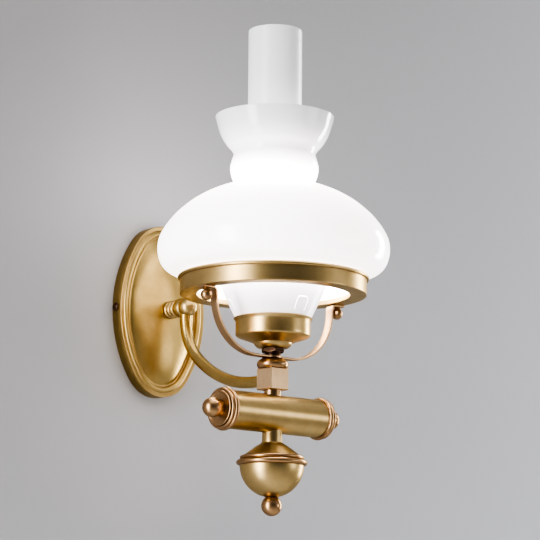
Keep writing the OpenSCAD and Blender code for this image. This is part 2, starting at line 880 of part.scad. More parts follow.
// Outer line of the glass shade, from the fitting edge to the mouth, as radius and height.
fit_r = ring_r - ring_t - glass_gap - 1;
over_z = ring_h - ring_t + 1.2;
function up(z) = over_z + z * shade_h / 132;
function shade_line() = smooth([
    [fit_r, 0], [fit_r, over_z - 3], [fit_r + 0.6, over_z - 0.6], [fit_r + 5, up(0.6)],
    [shade_r - 8.2, up(3.8)], [shade_r - 3.3, up(8.6)], [shade_r - 0.8, up(15)], [shade_r, up(22)],
    [shade_r - 0.9, up(29.5)], [shade_r - 4.3, up(37.6)], [shade_r - 9, up(43.2)],
    [shade_r - 15.5, up(49.2)], [shade_r - 26.5, up(58.4)], [shade_r - 38, up(65.6)],
    [waist_r + 13.5, up(70.3)], [waist_r + 4.6, up(73.4)], [waist_r, up(76.8)],
    [waist_r + 1.7, up(82)], [waist_r + 2.8, up(89)], [waist_r + 1.4, up(95.5)],
    [waist_r + 0.1, up(100.4)], [waist_r + 2, up(104.4)], [waist_r + 6.4, up(109.2)],
    [mouth_r - 4.8, up(117)], [mouth_r - 1.5, up(127)], [mouth_r, up(132)]
], 1);

module glass_shade() {
    color("#fbfaf6", 0.85)
    on_axis(floor_z)
    rotate_extrude() polygon(sheet(shade_line(), shade_t));
}

// Short upright tube between the block and the barrel, cut to the barrel's round top.
module barrel_neck() {
    color(dark_brass)
    on_axis(barrel_z)
    difference() {
        translate([0, 0, barrel_r - 4]) tube(7.1, stem_r + hole_gap, barrel_drop + 4);
        rotate([0, 90, 0]) cylinder(r = barrel_r + 0.02, h = 60, center = true);
    }
}

module drop_nipple() {
    bot = barrel_z + cross_h / 2 - 5.5;
    color(steel)
    on_axis(bot) tube(stem_r, stem_bore / 2, block_z - tube_r - 0.6 - bot);
}

// Hidden block where the upright and the level studs meet.
module cross_block() {
    color(steel)
    on_axis(barrel_z)
    difference() {
        cube([cross_w, 14, cross_h], center = true);
        translate([0, 0, cross_h / 2 - 6]) cylinder(r = stem_r + thread_gap, h = 10);
        translate([0, 0, -cross_h / 2 - 4]) cylinder(r = stud_r + thread_gap, h = 10);
        for (s = [-1, 1])
            translate([s * (cross_w / 2 - 1), 0, 0])
                rotate([0, 90, 0]) cylinder(r = stud_r - 1 + thread_gap, h = 4.4, center = true);
    }
}

module barrel_tube() {
    color(brass)
    on_axis(barrel_z)
    difference() {
        rotate([0, 90, 0]) translate([0, 0, -barrel_l / 2]) tube(barrel_r, barrel_r - barrel_t, barrel_l);
        cylinder(r = stem_r + hole_gap, h = 40);
        translate([0, 0, -40]) cylinder(r = stud_r + hole_gap, h = 40);
    }
}

// Turned piece around the barrel's axis, with the drawing's height running out to the right.
module on_barrel() {
    on_axis(barrel_z) rotate([0, 90, 0]) children();
}

module flange_shape() {
    bore = stud_r - 1 + hole_gap;
    r = barrel_r + flange_over;
    on_barrel()
    translate([0, 0, flange_x - 2.2])
    rotate_extrude()
        difference() {
            union() {
                square([barrel_r + 0.9, 3]);
                square([r - 2.5, flange_l]);
                translate([r - 1.8, 2.8]) circle(r = 1.8, $fn = 32);
                translate([r - 2.5, flange_l - 0.5]) circle(r = 1.5, $fn = 32);
            }
            translate([0, -1]) square([barrel_r + 0.05, 3.2]);
            translate([0, -1]) square([bore, 9]);
        }
}

module barrel_flange_right() {
    color(dark_brass) flange_shape();
}

module barrel_flange_left() {
    color(dark_brass) mirror([1, 0, 0]) flange_shape();
}

// Dished disc with a raised edge.
module disc_shape() {
    bore = stud_r - 1 + hole_gap;
    on_barrel()
    translate([0, 0, disc_x])
    rotate_extrude()
        polygon([[bore, 0], [9, 0], [disc_r - 1.6, 0.5], [disc_r - 0.4, 1], [disc_r, 1.6],
            [disc_r - 0.2, 2.1], [disc_r - 0.8, 2.3], [disc_r - 1.5, 2], [disc_r - 2.6, 1.5],
            [9, 1.2], [bore, 1.2]]);
}

module barrel_disc_right() {
    color(brass) disc_shape();
}

module barrel_disc_left() {
    color(brass) mirror([1, 0, 0]) disc_shape();
}

module knob_shape() {
    bore = stud_r - 1 + thread_gap;
    on_barrel()
    difference() {
        rotate_extrude()
            intersection() {
                union() {
                    translate([0, knob_x]) circle(r = knob_r);
                    translate([0, knob_start]) square([6.8, knob_x - knob_start]);
                }
                translate([0, knob_start]) square([20, 60]);
            }
        translate([0, 0, knob_start - 1]) cylinder(r = bore, h = 9);
    }
}

module barrel_knob_right() {
    color(brass) knob_shape();
}

module barrel_knob_left() {
    color(brass) mirror([1, 0, 0]) knob_shape();
}

module barrel_studs() {
    from = cross_w / 2 - 2.4;
    color(steel)
    for (s = [0, 1])
        mirror([s, 0, 0])
            on_barrel() translate([0, 0, from]) cylinder(r = stud_r - 1, h = flange_x + 13 - from);
}

// Short tube between the barrel and the bowl's cover, cut to the barrel's round underside.
module bowl_neck() {
    color(brass)
    on_axis(bowl_neck_z)
    difference() {
        tube(bowl_neck_r, stud_r + hole_gap, bowl_neck_h + 4);
        translate([0, 0, bowl_neck_h + barrel_r])
            rotate([0, 90, 0]) cylinder(r = barrel_r + 0.02, h = 60, center = true);
    }
}

module bowl_rod() {
    top = barrel_z - cross_h / 2 + 5.5;
    color(steel)
    on_axis(bowl_bot - 8) cylinder(r = stud_r, h = top - bowl_bot + 8);
}

// Section of the bowl's cover, filled down to the height low.
module cover_fill(low) {
    h = cover_h;
    polygon([[0, low], [0, h], [bowl_neck_r + 0.9, h], [bowl_neck_r + 1.5, h * 0.93],
        [bowl_r * 0.506, h * 0.78], [bowl_r * 0.656, h * 0.58], [bowl_r * 0.774, h * 0.42],
        [bowl_r * 0.86, h * 0.3], [bowl_r - 1.8, h * 0.18], [bowl_r - 1.8, low]]);
}

module bowl_cover() {
    c = 1.8;
    color(brass)
    on_axis(cover_bot)
    union() {
        rotate_extrude()
            difference() {
                cover_fill(1.1);
                translate([-0.5, -bowl_t]) cover_fill(-1);
                translate([0, -1]) square([stud_r + hole_gap, cover_h + 2]);
            }
        rotate_extrude() translate([bowl_r - c, c]) circle(r = c, $fn = 32);
    }
}

module bowl_body() {
    color(brass)
    on_axis()
    rotate_extrude()
        union() {
            difference() {
                intersection() {
                    difference() {
                        translate([0, bowl_c]) circle(r = bowl_r);
                        translate([0, bowl_c]) circle(r = bowl_r - bowl_t);
                    }
                    translate([0, bowl_c - 40]) square([40, 40]);
                }
                translate([0, bowl_c - 40]) square([stud_r + hole_gap, 40]);
            }
            translate([bowl_r - bowl_t, bowl_c]) square([bowl_t, cover_bot + 0.02 - bowl_c]);
            translate([bowl_r + bowl_bead - bowl_bead_r, bowl_bead_z]) circle(r = bowl_bead_r, $fn = 32);
        }
}

module bowl_finial() {
    color(brass)
    on_axis()
    difference() {
        rotate_extrude()
            intersection() {
                translate([0, finial_z]) circle(r = finial_r);
                translate([0, finial_z - 20]) square([20, bowl_bot + bowl_seat - finial_z + 20]);
            }
        translate([0, 0, bowl_bot - 8.2]) cylinder(r = stud_r + thread_gap, h = 20);
    }
}

wall_bracket();
wall_plate();
plate_screws();
terminal_block();
terminal_screws();
earth_screw();
canopy_nipple();
canopy_washer();
canopy_nut();
arm_collar();
arm_knuckle();
arm_tube();
lamp_cable();
arm_block();
bead_collar();
stem_nipple();
ring_bow();
stem_nut();
ring_screws();
shade_ring();
burner_cup();
burner_cone();
holder_cap();
holder_body();
holder_thread();
holder_contact();
holder_ring();
chimney_gallery();
chimney();
bulb_glass();
bulb_cap();
glass_shade();
barrel_neck();
drop_nipple();
cross_block();
barrel_tube();
barrel_flange_left();
barrel_flange_right();
barrel_disc_left();
barrel_disc_right();
barrel_knob_left();
barrel_knob_right();
barrel_studs();
bowl_neck();
bowl_rod();
bowl_cover();
bowl_body();
bowl_finial();
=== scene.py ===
import json
import math

import bmesh
import bpy
from mathutils import Matrix, Vector

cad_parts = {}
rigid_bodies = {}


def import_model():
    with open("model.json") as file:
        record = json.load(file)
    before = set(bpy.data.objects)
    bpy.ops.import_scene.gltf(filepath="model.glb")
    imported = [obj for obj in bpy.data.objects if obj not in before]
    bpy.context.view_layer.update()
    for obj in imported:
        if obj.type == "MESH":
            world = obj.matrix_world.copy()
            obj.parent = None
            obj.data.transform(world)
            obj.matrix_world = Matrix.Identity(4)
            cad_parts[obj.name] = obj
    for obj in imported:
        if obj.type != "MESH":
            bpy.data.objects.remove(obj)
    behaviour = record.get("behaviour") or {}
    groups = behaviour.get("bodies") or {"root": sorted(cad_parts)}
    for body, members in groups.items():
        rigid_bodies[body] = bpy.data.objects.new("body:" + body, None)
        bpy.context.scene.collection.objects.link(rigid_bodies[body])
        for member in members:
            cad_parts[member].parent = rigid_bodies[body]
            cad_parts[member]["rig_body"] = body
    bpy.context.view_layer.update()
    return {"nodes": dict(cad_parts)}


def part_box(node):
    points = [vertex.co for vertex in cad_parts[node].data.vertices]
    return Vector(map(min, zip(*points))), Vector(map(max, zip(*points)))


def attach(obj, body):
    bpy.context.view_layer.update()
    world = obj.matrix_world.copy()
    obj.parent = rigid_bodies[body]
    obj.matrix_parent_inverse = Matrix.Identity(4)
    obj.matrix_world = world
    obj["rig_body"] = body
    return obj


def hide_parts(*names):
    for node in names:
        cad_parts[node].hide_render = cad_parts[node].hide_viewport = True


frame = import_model()

bl_info = {
    "name": "Wall lamp",
    "version": (1, 0, 0),
    "blender": (4, 5, 0),
    "location": "3D View > Sidebar > Wall lamp",
    "description": "Builds a brass wall lamp with an opal glass shade, piece by piece",
    "category": "Add Mesh",
}

MM = 0.001
PATH_R = 100.0  # radius in mm of the circle that a turned outline is carried round


# ---------------------------------------------------------------- sizes and colours


def linear(code):
    """Linear colour of an sRGB hex value."""
    parts = [int(code[i : i + 2], 16) / 255 for i in (1, 3, 5)]
    return [c / 12.92 if c <= 0.04045 else ((c + 0.055) / 1.055) ** 2.4 for c in parts]


def size(name, text, value):
    return bpy.props.FloatProperty(
        name=name, description=text, default=value, min=0.0001, unit="LENGTH", precision=4
    )


def tone(name, text, code):
    return bpy.props.FloatVectorProperty(
        name=name, description=text, default=linear(code), size=3, min=0, max=1, subtype="COLOR"
    )


class LampSizes(bpy.types.PropertyGroup):
    """Sizes of the lamp's visible pieces."""

    reach: size("Reach", "Wall to the lamp's upright axis", 0.159)
    plate_w: size("Plate width", "Width of the oval wall plate", 0.093)
    plate_h: size("Plate height", "Height of the oval wall plate", 0.151)
    plate_end: size("Plate end radius", "Radius of the wall plate's top and bottom ends", 0.033)
    plate_side: size("Plate side", "Depth of the wall plate's upright side", 0.012)
    plate_crown: size("Plate crown", "Wall to the top of the plate's dome", 0.021)
    plate_t: size("Plate sheet", "Thickness of the wall plate's sheet", 0.0012)
    arm_out: size("Arm drop distance", "Wall to the arm's upright start", 0.0435)
    arm_start: size("Arm drop", "Straight length of the arm below the knuckle's centre", 0.0084)
    arm_bend: size("First bend", "Radius of the arm's first bend", 0.050)
    tube_r: size("Arm tube radius", "Outside radius of the arm tube", 0.005)
    collar_l: size("Collar length", "Length of the ribbed collar on the plate", 0.0127)
    collar_r: size("Collar radius", "Radius of the ribbed collar on the plate", 0.0078)
    knuckle_r: size("Inner ball", "Radius of the knuckle's ball on the collar", 0.0084)
    socket_r: size("Outer ball", "Radius of the knuckle's ball over the arm", 0.0082)
    bead_r: size("Bead collar", "Radius of the turned bead on the block", 0.0132)
    bow_w: size("Bow width", "Width of the bow's brass strip", 0.008)
    bow_t: size("Bow thickness", "Thickness of the bow's brass strip", 0.0018)
    bow_r: size("Bow bend", "Radius of the bow's large bends", 0.045)
    bow_h: size("Bow height", "Height of the bow", 0.0526)
    ball_screw_r: size("Ball screw", "Radius of the ball heads under the ring", 0.0049)
    ring_r: size("Ring radius", "Outside radius of the shade ring", 0.0778)
    ring_h: size("Ring height", "Height of the shade ring", 0.0158)
    ring_open: size("Ring opening", "Radius of the opening in the shade ring", 0.0638)
    ring_lip: size("Ring lip", "Height of the lip around the ring's opening", 0.0046)
    cup_r: size("Cup radius", "Radius of the cup under the cone", 0.0312)
    cup_h: size("Cup height", "Height of the cup under the cone", 0.0252)
    chimney_r: size("Chimney radius", "Outside radius of the glass chimney", 0.0227)
    chimney_l: size("Chimney length", "Length of the glass chimney", 0.248)
    chimney_t: size("Chimney glass", "Wall of the glass chimney", 0.002)
    bulb_r: size("Bulb radius", "Largest radius of the bulb", 0.0175)
    bulb_l: size("Bulb length", "Length of the bulb's glass", 0.099)
    shade_r: size("Shade radius", "Largest radius of the glass shade", 0.097)
    shade_h: size("Shade height", "Height of the glass shade above its ring", 0.1352)
    shade_t: size("Shade glass", "Wall of the glass shade", 0.003)
    waist_r: size("Waist radius", "Radius of the glass shade's waist", 0.0343)
    mouth_r: size("Mouth radius", "Radius of the glass shade's mouth", 0.0502)
    barrel_r: size("Barrel radius", "Radius of the level barrel", 0.016)
    barrel_l: size("Barrel length", "Length of the level barrel", 0.102)
    flange_over: size("Flange rim", "How far the end flanges stand over the barrel", 0.002)
    disc_r: size("Disc radius", "Radius of the dished discs at the barrel's ends", 0.0145)
    knob_r: size("Knob radius", "Radius of the balls at the barrel's ends", 0.0081)
    bowl_r: size("Bowl radius", "Radius of the bowl", 0.0265)
    cover_h: size("Cover height", "Height of the bowl's cone-shaped cover", 0.0143)
    bowl_bead: size("Bowl bead", "How far the bowl's rolled rim stands out", 0.0029)
    finial_r: size("Finial radius", "Radius of the ball under the bowl", 0.0085)


class LampColours(bpy.types.PropertyGroup):
    """Colours of the lamp's finishes."""

    brass: tone("Satin brass", "Lacquered satin brass of the large pieces", "#c4a976")
    brass_shade: tone("Satin brass, deep", "Darker clouds in the satin brass", "#94784a")
    golden: tone("Golden brass", "Warmer satin brass of the wall plate and the arm", "#b99e66")
    golden_shade: tone("Golden brass, deep", "Darker clouds in the golden brass", "#8f7140")
    copper: tone("Edge colour", "Warm tone where edges were relieved", "#c9a37e")
    antique: tone("Antique brass", "Darkened brass of flanges and beads", "#b4906a")
    antique_shade: tone("Antique brass, deep", "Darker clouds in the antique brass", "#7d6446")
    brushed: tone("Brushed brass", "Light brushed brass of the block and the bow", "#b99977")
    brushed_shade: tone("Brushed brass, deep", "Darker lines in the brushed brass", "#94744f")
    block: tone("Block brass", "Pale brushed brass of the square block", "#d9bb96")
    block_shade: tone("Block brass, deep", "Darker lines in the block's brass", "#b9966c")
    nut: tone("Browned steel", "Browned steel of the nut, the stem and the side screws", "#463329")
    zinc: tone("Zinc plate", "Zinc-plated steel of the hidden fixings", "#a9abab")
    opal: tone("Opal glass", "Body colour of the opal glass", "#eceaec")
    frosted: tone("Frosted glass", "Body colour of the frosted chimney", "#e4e6e8")
    enamel: tone("White enamel", "Colour of the enamelled cone", "#eeedf1")
    glow: tone("Lamp light", "Colour of the light of the bulb", "#fffaf4")
    room: tone("Room", "Colour of the studio around the lamp", "#7f8082")
    wall: tone("Wall", "Painted wall behind the lamp", "#cacbd0")


def sizes():
    """The sizes in millimetres, by name."""
    group = bpy.context.scene.lamp_sizes
    return {k: getattr(group, k) / MM for k in LampSizes.__annotations__}


def colour(name):
    return (*getattr(bpy.context.scene.lamp_colours, name), 1.0)


# ---------------------------------------------------------------- outlines


def curved(points, steps=6):
    """Smooth line through all points."""
    out = []
    for i in range(len(points) - 1):
        a, b = Vector(points[max(i - 1, 0)]), Vector(points[i])
        c, d = Vector(points[i + 1]), Vector(points[min(i + 2, len(points) - 1)])
        for k in range(steps):
            t = k / steps
            p = 2 * b + (c - a) * t + (2 * a - 5 * b + 4 * c - d) * t * t
            out.append(tuple((p + (3 * b - a - 3 * c + d) * t**3) / 2))
    return out + [tuple(points[-1])]


def arc(cx, cy, r, start, end, steps=16):
    """Points on an arc, with angles in degrees."""
    turn = [math.radians(start + (end - start) * k / steps) for k in range(steps + 1)]
    return [(cx + r * math.cos(a), cy + r * math.sin(a)) for a in turn]


def walled(line, t):
    """Closed outline of a sheet: the line and the same line moved by t to its left."""
    inner = []
    for i, p in enumerate(line):
        d = (Vector(line[min(i + 1, len(line) - 1)]) - Vector(line[max(i - 1, 0)])).normalized()
        inner.append((p[0] - d.y * t, p[1] + d.x * t))
    return list(line) + inner[::-1]


def eased(line, r, closed=True):
    """The line with its sharp corners turned to small arcs, and flats held straight beside them."""
    out = []
    count = len(line)
    for i, p in enumerate(line):
        if not closed and i in (0, count - 1):
            out.append(tuple(p))
            continue
        p = Vector(p)
        back, on = Vector(line[i - 1]) - p, Vector(line[(i + 1) % count]) - p
        lb, lo = back.length, on.length
        back.normalize()
        on.normalize()
        turn = math.pi - back.angle(on)
        if turn < 0.35:
            out.append(tuple(p))
            continue
        cut = min(r, lb * 0.42, lo * 0.42)
        if lb > 4 * cut:
            out.append(tuple(p + back * cut * 1.7))
        for k in range(5):
            t = k / 4
            out.append(tuple(p + back * cut * (1 - t) ** 2 + on * cut * t * t))
        if lo > 4 * cut:
            out.append(tuple(p + on * cut * 1.7))
    return out


# ---------------------------------------------------------------- node trees for shapes


def put(tree, kind, settings=None, inputs=None):
    """Adds a node with its own settings, and fills or links its inputs."""
    made = tree.nodes.new(kind)
    for key, value in (settings or {}).items():
        setattr(made, key, value)
    for key, value in (inputs or {}).items():
        if isinstance(value, bpy.types.NodeSocket):
            tree.links.new(value, made.inputs[key])
        else:
            made.inputs[key].default_value = value
    return made


def shape_tree(name, wanted):
    """A geometry tree with its named inputs, and the identifiers of those inputs."""
    tree = bpy.data.node_groups.new(name, "GeometryNodeTree")
    tree.is_modifier = True
    tree.interface.new_socket("Geometry", in_out="INPUT", socket_type="NodeSocketGeometry")
    keys = {}
    for label, kind, value in wanted:
        socket = tree.interface.new_socket(label, in_out="INPUT", socket_type="NodeSocket" + kind)
        if value is not None:
            socket.default_value = value
        keys[label] = socket.identifier
    tree.interface.new_socket("Geometry", in_out="OUTPUT", socket_type="NodeSocketGeometry")
    return tree, keys, tree.nodes.new("NodeGroupInput").outputs


def end_tree(tree, geometry, material):
    """Every tree ends in real geometry with its material."""
    real = put(tree, "GeometryNodeRealizeInstances", None, {"Geometry": geometry})
    dressed = put(tree, "GeometryNodeSetMaterial", None, {"Geometry": real.outputs[0], "Material": material})
    put(tree, "NodeGroupOutput", None, {0: dressed.outputs[0]})


def turned_tree():
    """Carries an outline once round a circle, as a lathe or a spinning chuck does."""
    tree, keys, given = shape_tree("turned piece", [
        ("Steps", "Int", 160), ("Path radius", "Float", PATH_R * MM), ("Finish", "Material", None)])
    outline = put(tree, "GeometryNodeMeshToCurve", None, {"Mesh": given["Geometry"]})
    circle = put(tree, "GeometryNodeCurvePrimitiveCircle", None,
                 {"Resolution": given["Steps"], "Radius": given["Path radius"]})
    skin = put(tree, "GeometryNodeCurveToMesh", None,
               {"Curve": circle.outputs[0], "Profile Curve": outline.outputs[0]})
    end_tree(tree, skin.outputs[0], given["Finish"])
    return tree, keys


def rod_tree():
    """Sweeps a round section along a path."""
    tree, keys, given = shape_tree("bent tube", [
        ("Radius", "Float", 0.005), ("Sides", "Int", 40), ("Finish", "Material", None)])
    path = put(tree, "GeometryNodeMeshToCurve", None, {"Mesh": given["Geometry"]})
    section = put(tree, "GeometryNodeCurvePrimitiveCircle", None,
                  {"Resolution": given["Sides"], "Radius": given["Radius"]})
    skin = put(tree, "GeometryNodeCurveToMesh", None,
               {"Curve": path.outputs[0], "Profile Curve": section.outputs[0], "Fill Caps": True})
    end_tree(tree, skin.outputs[0], given["Finish"])
    return tree, keys


def strip_tree():
    """Sweeps a flat section with round edges along a path in an upright plane."""
    tree, keys, given = shape_tree("bent strip", [
        ("Width", "Float", 0.008), ("Thickness", "Float", 0.0018), ("Edge", "Float", 0.0004),
        ("Finish", "Material", None)])
    path = put(tree, "GeometryNodeMeshToCurve", None, {"Mesh": given["Geometry"]})
    level = put(tree, "GeometryNodeSetCurveNormal", {"mode": "FREE"},
                {"Curve": path.outputs[0], "Normal": (0, 1, 0)})
    section = put(tree, "GeometryNodeCurvePrimitiveQuadrilateral", None,
                  {"Width": given["Width"], "Height": given["Thickness"]})
    rounded = put(tree, "GeometryNodeFilletCurve", {"mode": "POLY"},
                  {"Curve": section.outputs[0], "Count": 4, "Radius": given["Edge"]})
    skin = put(tree, "GeometryNodeCurveToMesh", None,
               {"Curve": level.outputs[0], "Profile Curve": rounded.outputs[0], "Fill Caps": True})
    end_tree(tree, skin.outputs[0], given["Finish"])
    return tree, keys


def copies_tree():
    """Sets equal copies of a piece around the Z axis."""
    tree, keys, given = shape_tree("copies around an axis", [
        ("Count", "Int", 2), ("Turn", "Float", math.pi), ("Finish", "Material", None)])
    spots = put(tree, "GeometryNodePoints", None, {"Count": given["Count"]})
    number = put(tree, "GeometryNodeInputIndex")
    angle = put(tree, "ShaderNodeMath", {"operation": "MULTIPLY"},
                {0: number.outputs[0], 1: given["Turn"]})
    spin = put(tree, "ShaderNodeCombineXYZ", None, {"Z": angle.outputs[0]})
    placed = put(tree, "GeometryNodeInstanceOnPoints", None,
                 {"Points": spots.outputs[0], "Instance": given["Geometry"], "Rotation": spin.outputs[0]})
    end_tree(tree, placed.outputs[0], given["Finish"])
    return tree, keys


TREES = {}


def grown(obj, kind, finish, values):
    """Runs a tree on the object's mesh and leaves the result as its plain mesh."""
    if kind not in TREES:
        TREES[kind] = {"turned": turned_tree, "rod": rod_tree, "strip": strip_tree,
                       "copies": copies_tree}[kind]()
    tree, keys = TREES[kind]
    modifier = obj.modifiers.new(kind, "NODES")
    modifier.node_group = tree
    modifier[keys["Finish"]] = finish
    for label, value in values.items():
        modifier[keys[label]] = value
    bpy.context.view_layer.update()
    ready = obj.evaluated_get(bpy.context.evaluated_depsgraph_get())
    mesh = bpy.data.meshes.new_from_object(ready)
    obj.modifiers.clear()
    obj.data = mesh
    return obj


# ---------------------------------------------------------------- making pieces


def on_axis(z=0.0):
    """Place of a piece that is drawn around the lamp's upright axis, in millimetres."""
    return Matrix.Diagonal((MM, MM, MM, 1)) @ Matrix.Translation((0, -sizes()["reach"], z))


def from_wall():
    """Place of a piece whose height runs out from the wall."""
    return Matrix.Diagonal((MM, MM, MM, 1)) @ Matrix.Rotation(math.pi / 2, 4, "X")


def on_barrel(side=1):
    """Place of a piece whose height runs out along the barrel, to the right or the left."""
    s = sizes()
    place = Matrix.Translation((0, -s["reach"], heights()["barrel"]))
    return Matrix.Diagonal((MM, MM, MM, 1)) @ place @ Matrix.Rotation(side * math.pi / 2, 4, "Y")


def heights():
    """Heights of the pieces on the upright axis, in millimetres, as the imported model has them."""
    block_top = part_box("arm_block")[1].z / MM
    barrel = (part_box("barrel_tube")[0].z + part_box("barrel_tube")[1].z) / 2 / MM
    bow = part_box("ring_bow")[0].z / MM
    return {
        "block_top": block_top,
        "bow": bow,
        "cup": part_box("burner_cup")[0].z / MM,
        "ring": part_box("shade_ring")[0].z / MM,
        "glass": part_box("glass_shade")[0].z / MM,
        "chimney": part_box("chimney")[0].z / MM,
        "bulb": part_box("bulb_glass")[0].z / MM,
        "barrel": barrel,
        "cover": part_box("bowl_cover")[0].z / MM,
        "bowl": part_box("bowl_body")[0].z / MM,
        "finial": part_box("bowl_finial")[0].z / MM,
        "block": (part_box("arm_block")[0].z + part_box("arm_block")[1].z) / 2 / MM,
    }


def line_object(name, points, closed):
    """An object that holds a line as loose edges."""
    count = len(points)
    edges = [(i, (i + 1) % count) for i in range(count if closed else count - 1)]
    mesh = bpy.data.meshes.new(name)
    mesh.from_pydata(points, edges, [])
    obj = bpy.data.objects.new(name, mesh)
    bpy.context.scene.collection.objects.link(obj)
    return obj


def settled(obj, place, finish=None):
    """Merges doubles, turns faces outwards, smooths, and puts the mesh in its place."""
    mesh = obj.data
    mesh.transform(place)
    work = bmesh.new()
    work.from_mesh(mesh)
    bmesh.ops.remove_doubles(work, verts=work.verts, dist=0.000004)
    bmesh.ops.dissolve_degenerate(work, edges=work.edges, dist=0.000001)
    loose = [v for v in work.verts if not v.link_faces]
    bmesh.ops.delete(work, geom=loose, context="VERTS")
    bmesh.ops.recalc_face_normals(work, faces=work.faces)
    for face in work.faces:
        face.smooth = True
    work.to_mesh(mesh)
    work.free()
    if finish is not None:
        mesh.materials.clear()
        mesh.materials.append(finish)
    mesh.name = obj.name
    return obj


def turned(name, outline, place, finish, closed=True, steps=160):
    """A turned piece from its outline as radius and height in millimetres."""
    points = [((r - PATH_R) * MM, -h * MM, 0) for r, h in outline]
    obj = line_object(name, points, closed)
    grown(obj, "turned", finish, {"Steps": steps})
    return settled(obj, place @ Matrix.Diagonal((1 / MM, 1 / MM, 1 / MM, 1)), finish)


def stands_for(obj, *nodes):
    """The piece takes the nodes' place on their body, and the nodes are hidden."""
    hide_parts(*nodes)
    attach(obj, frame["nodes"][nodes[0]]["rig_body"])
    return obj


def dress(finish, *nodes):
    """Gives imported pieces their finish."""
    for n in nodes:
        mesh = frame["nodes"][n].data
        mesh.materials.clear()
        mesh.materials.append(finish)


# ---------------------------------------------------------------- finishes


def place_in_mm(tree, origin, axis):
    """Object coordinates in millimetres from a point, turned so that the axis lies along Z."""
    place = put(tree, "ShaderNodeTexCoord")
    from_point = put(tree, "ShaderNodeVectorMath", {"operation": "SUBTRACT"},
                     {0: place.outputs["Object"], 1: origin})
    turn = {"Z": (0, 0, 0), "X": (0, math.pi / 2, 0), "Y": (math.pi / 2, 0, 0)}[axis]
    return put(tree, "ShaderNodeMapping", None,
               {"Vector": from_point.outputs[0], "Rotation": turn, "Scale": (1000, 1000, 1000)})


def grain(tree, where, lay):
    """Coordinates for fine lines: round the axis for turned work, along it for drawn work."""
    if lay == "turned":
        flat = put(tree, "ShaderNodeVectorMath", {"operation": "MULTIPLY"},
                   {0: where.outputs[0], 1: (1, 1, 0)})
        out = put(tree, "ShaderNodeVectorMath", {"operation": "LENGTH"}, {0: flat.outputs[0]})
        parts = put(tree, "ShaderNodeSeparateXYZ", None, {0: where.outputs[0]})
        return put(tree, "ShaderNodeCombineXYZ", None,
                   {0: out.outputs["Value"], 1: parts.outputs[2], 2: 0.0}).outputs[0]
    stretch = {"drawn": (1, 1, 0.02), "plain": (1, 1, 1)}[lay]
    return put(tree, "ShaderNodeVectorMath", {"operation": "MULTIPLY"},
               {0: where.outputs[0], 1: stretch}).outputs[0]


def ranged(tree, value, low, high, to_low, to_high):
    """The value moved from one range to another, held at its ends."""
    return put(tree, "ShaderNodeMapRange", {"clamp": True},
               {0: value, 1: low, 2: high, 3: to_low, 4: to_high}).outputs[0]


def blend_tones(tree, factor, a, b):
    """Mix of two colours, each a socket or a value."""
    made = put(tree, "ShaderNodeMix", {"data_type": "RGBA"}, {0: factor, 6: a, 7: b})
    return made.outputs[2]


def worn_edges(tree, reach_mm, gain, breakup):
    """Mask of sharp edges, broken up by a noise value."""
    soft = put(tree, "ShaderNodeBevel", {"samples": 4}, {"Radius": reach_mm * MM})
    true = put(tree, "ShaderNodeNewGeometry")
    near = put(tree, "ShaderNodeVectorMath", {"operation": "DOT_PRODUCT"},
               {0: soft.outputs[0], 1: true.outputs["Normal"]})
    edge = ranged(tree, near.outputs["Value"], 1.0, 1.0 - gain, 0.0, 1.0)
    return put(tree, "ShaderNodeMath", {"operation": "MULTIPLY", "use_clamp": True},
               {0: edge, 1: ranged(tree, breakup, 0.3, 0.6, 0.55, 1.15)}).outputs[0]


def metal(name, base, deep, edge, lay, axis, origin, roughness, line_mm, depth_mm, wear=0.9,
          lacquer=0.1, line_tone=0.07):
    """A metal finish: clouds in tone, fine lines from its making, relieved edges and lacquer."""
    made = bpy.data.materials.new(name)
    made.use_nodes = True
    tree = made.node_tree
    tree.nodes.clear()
    where = place_in_mm(tree, origin, axis)
    cloud = put(tree, "ShaderNodeTexNoise", None,
                {"Vector": where.outputs[0], "Scale": 1 / 16, "Detail": 4.0, "Roughness": 0.6})
    lines = put(tree, "ShaderNodeTexNoise", None,
                {"Vector": grain(tree, where, lay), "Scale": 1 / line_mm, "Detail": 2.5,
                 "Roughness": 0.65})
    specks = put(tree, "ShaderNodeTexNoise", None,
                 {"Vector": where.outputs[0], "Scale": 1 / 1.4, "Detail": 2.0})
    cloudy = ranged(tree, cloud.outputs[0], 0.35, 0.68, 0.0, 0.35)
    toned = blend_tones(tree, cloudy, base, deep)
    lined = blend_tones(tree, ranged(tree, lines.outputs[0], 0.38, 0.66, 0.0, line_tone), toned, deep)
    mask = worn_edges(tree, 1.1, 0.12, specks.outputs[0])
    held = put(tree, "ShaderNodeMath", {"operation": "MULTIPLY"}, {0: mask, 1: wear})
    final = blend_tones(tree, held.outputs[0], lined, edge)
    rough = ranged(tree, lines.outputs[0], 0.3, 0.7, roughness - 0.01, roughness + 0.015)
    rough_cloud = put(tree, "ShaderNodeMath", {"operation": "ADD"},
                      {0: rough, 1: ranged(tree, cloud.outputs[0], 0.3, 0.7, -0.015, 0.02)})
    relief = put(tree, "ShaderNodeMath", {"operation": "ADD"},
                 {0: lines.outputs[0], 1: ranged(tree, specks.outputs[0], 0.3, 0.7, 0.0, 0.1)})
    bump = put(tree, "ShaderNodeBump", None,
               {"Strength": 1.0, "Distance": depth_mm * MM, "Height": relief.outputs[0]})
    shader = put(tree, "ShaderNodeBsdfPrincipled", None,
                 {"Base Color": final, "Metallic": 1.0, "Roughness": rough_cloud.outputs[0],
                  "Normal": bump.outputs[0], "Specular Tint": (0.62, 0.58, 0.5, 1.0),
                  "Coat Weight": lacquer, "Coat Roughness": 0.2})
    put(tree, "ShaderNodeOutputMaterial", None, {"Surface": shader.outputs[0]})
    return made


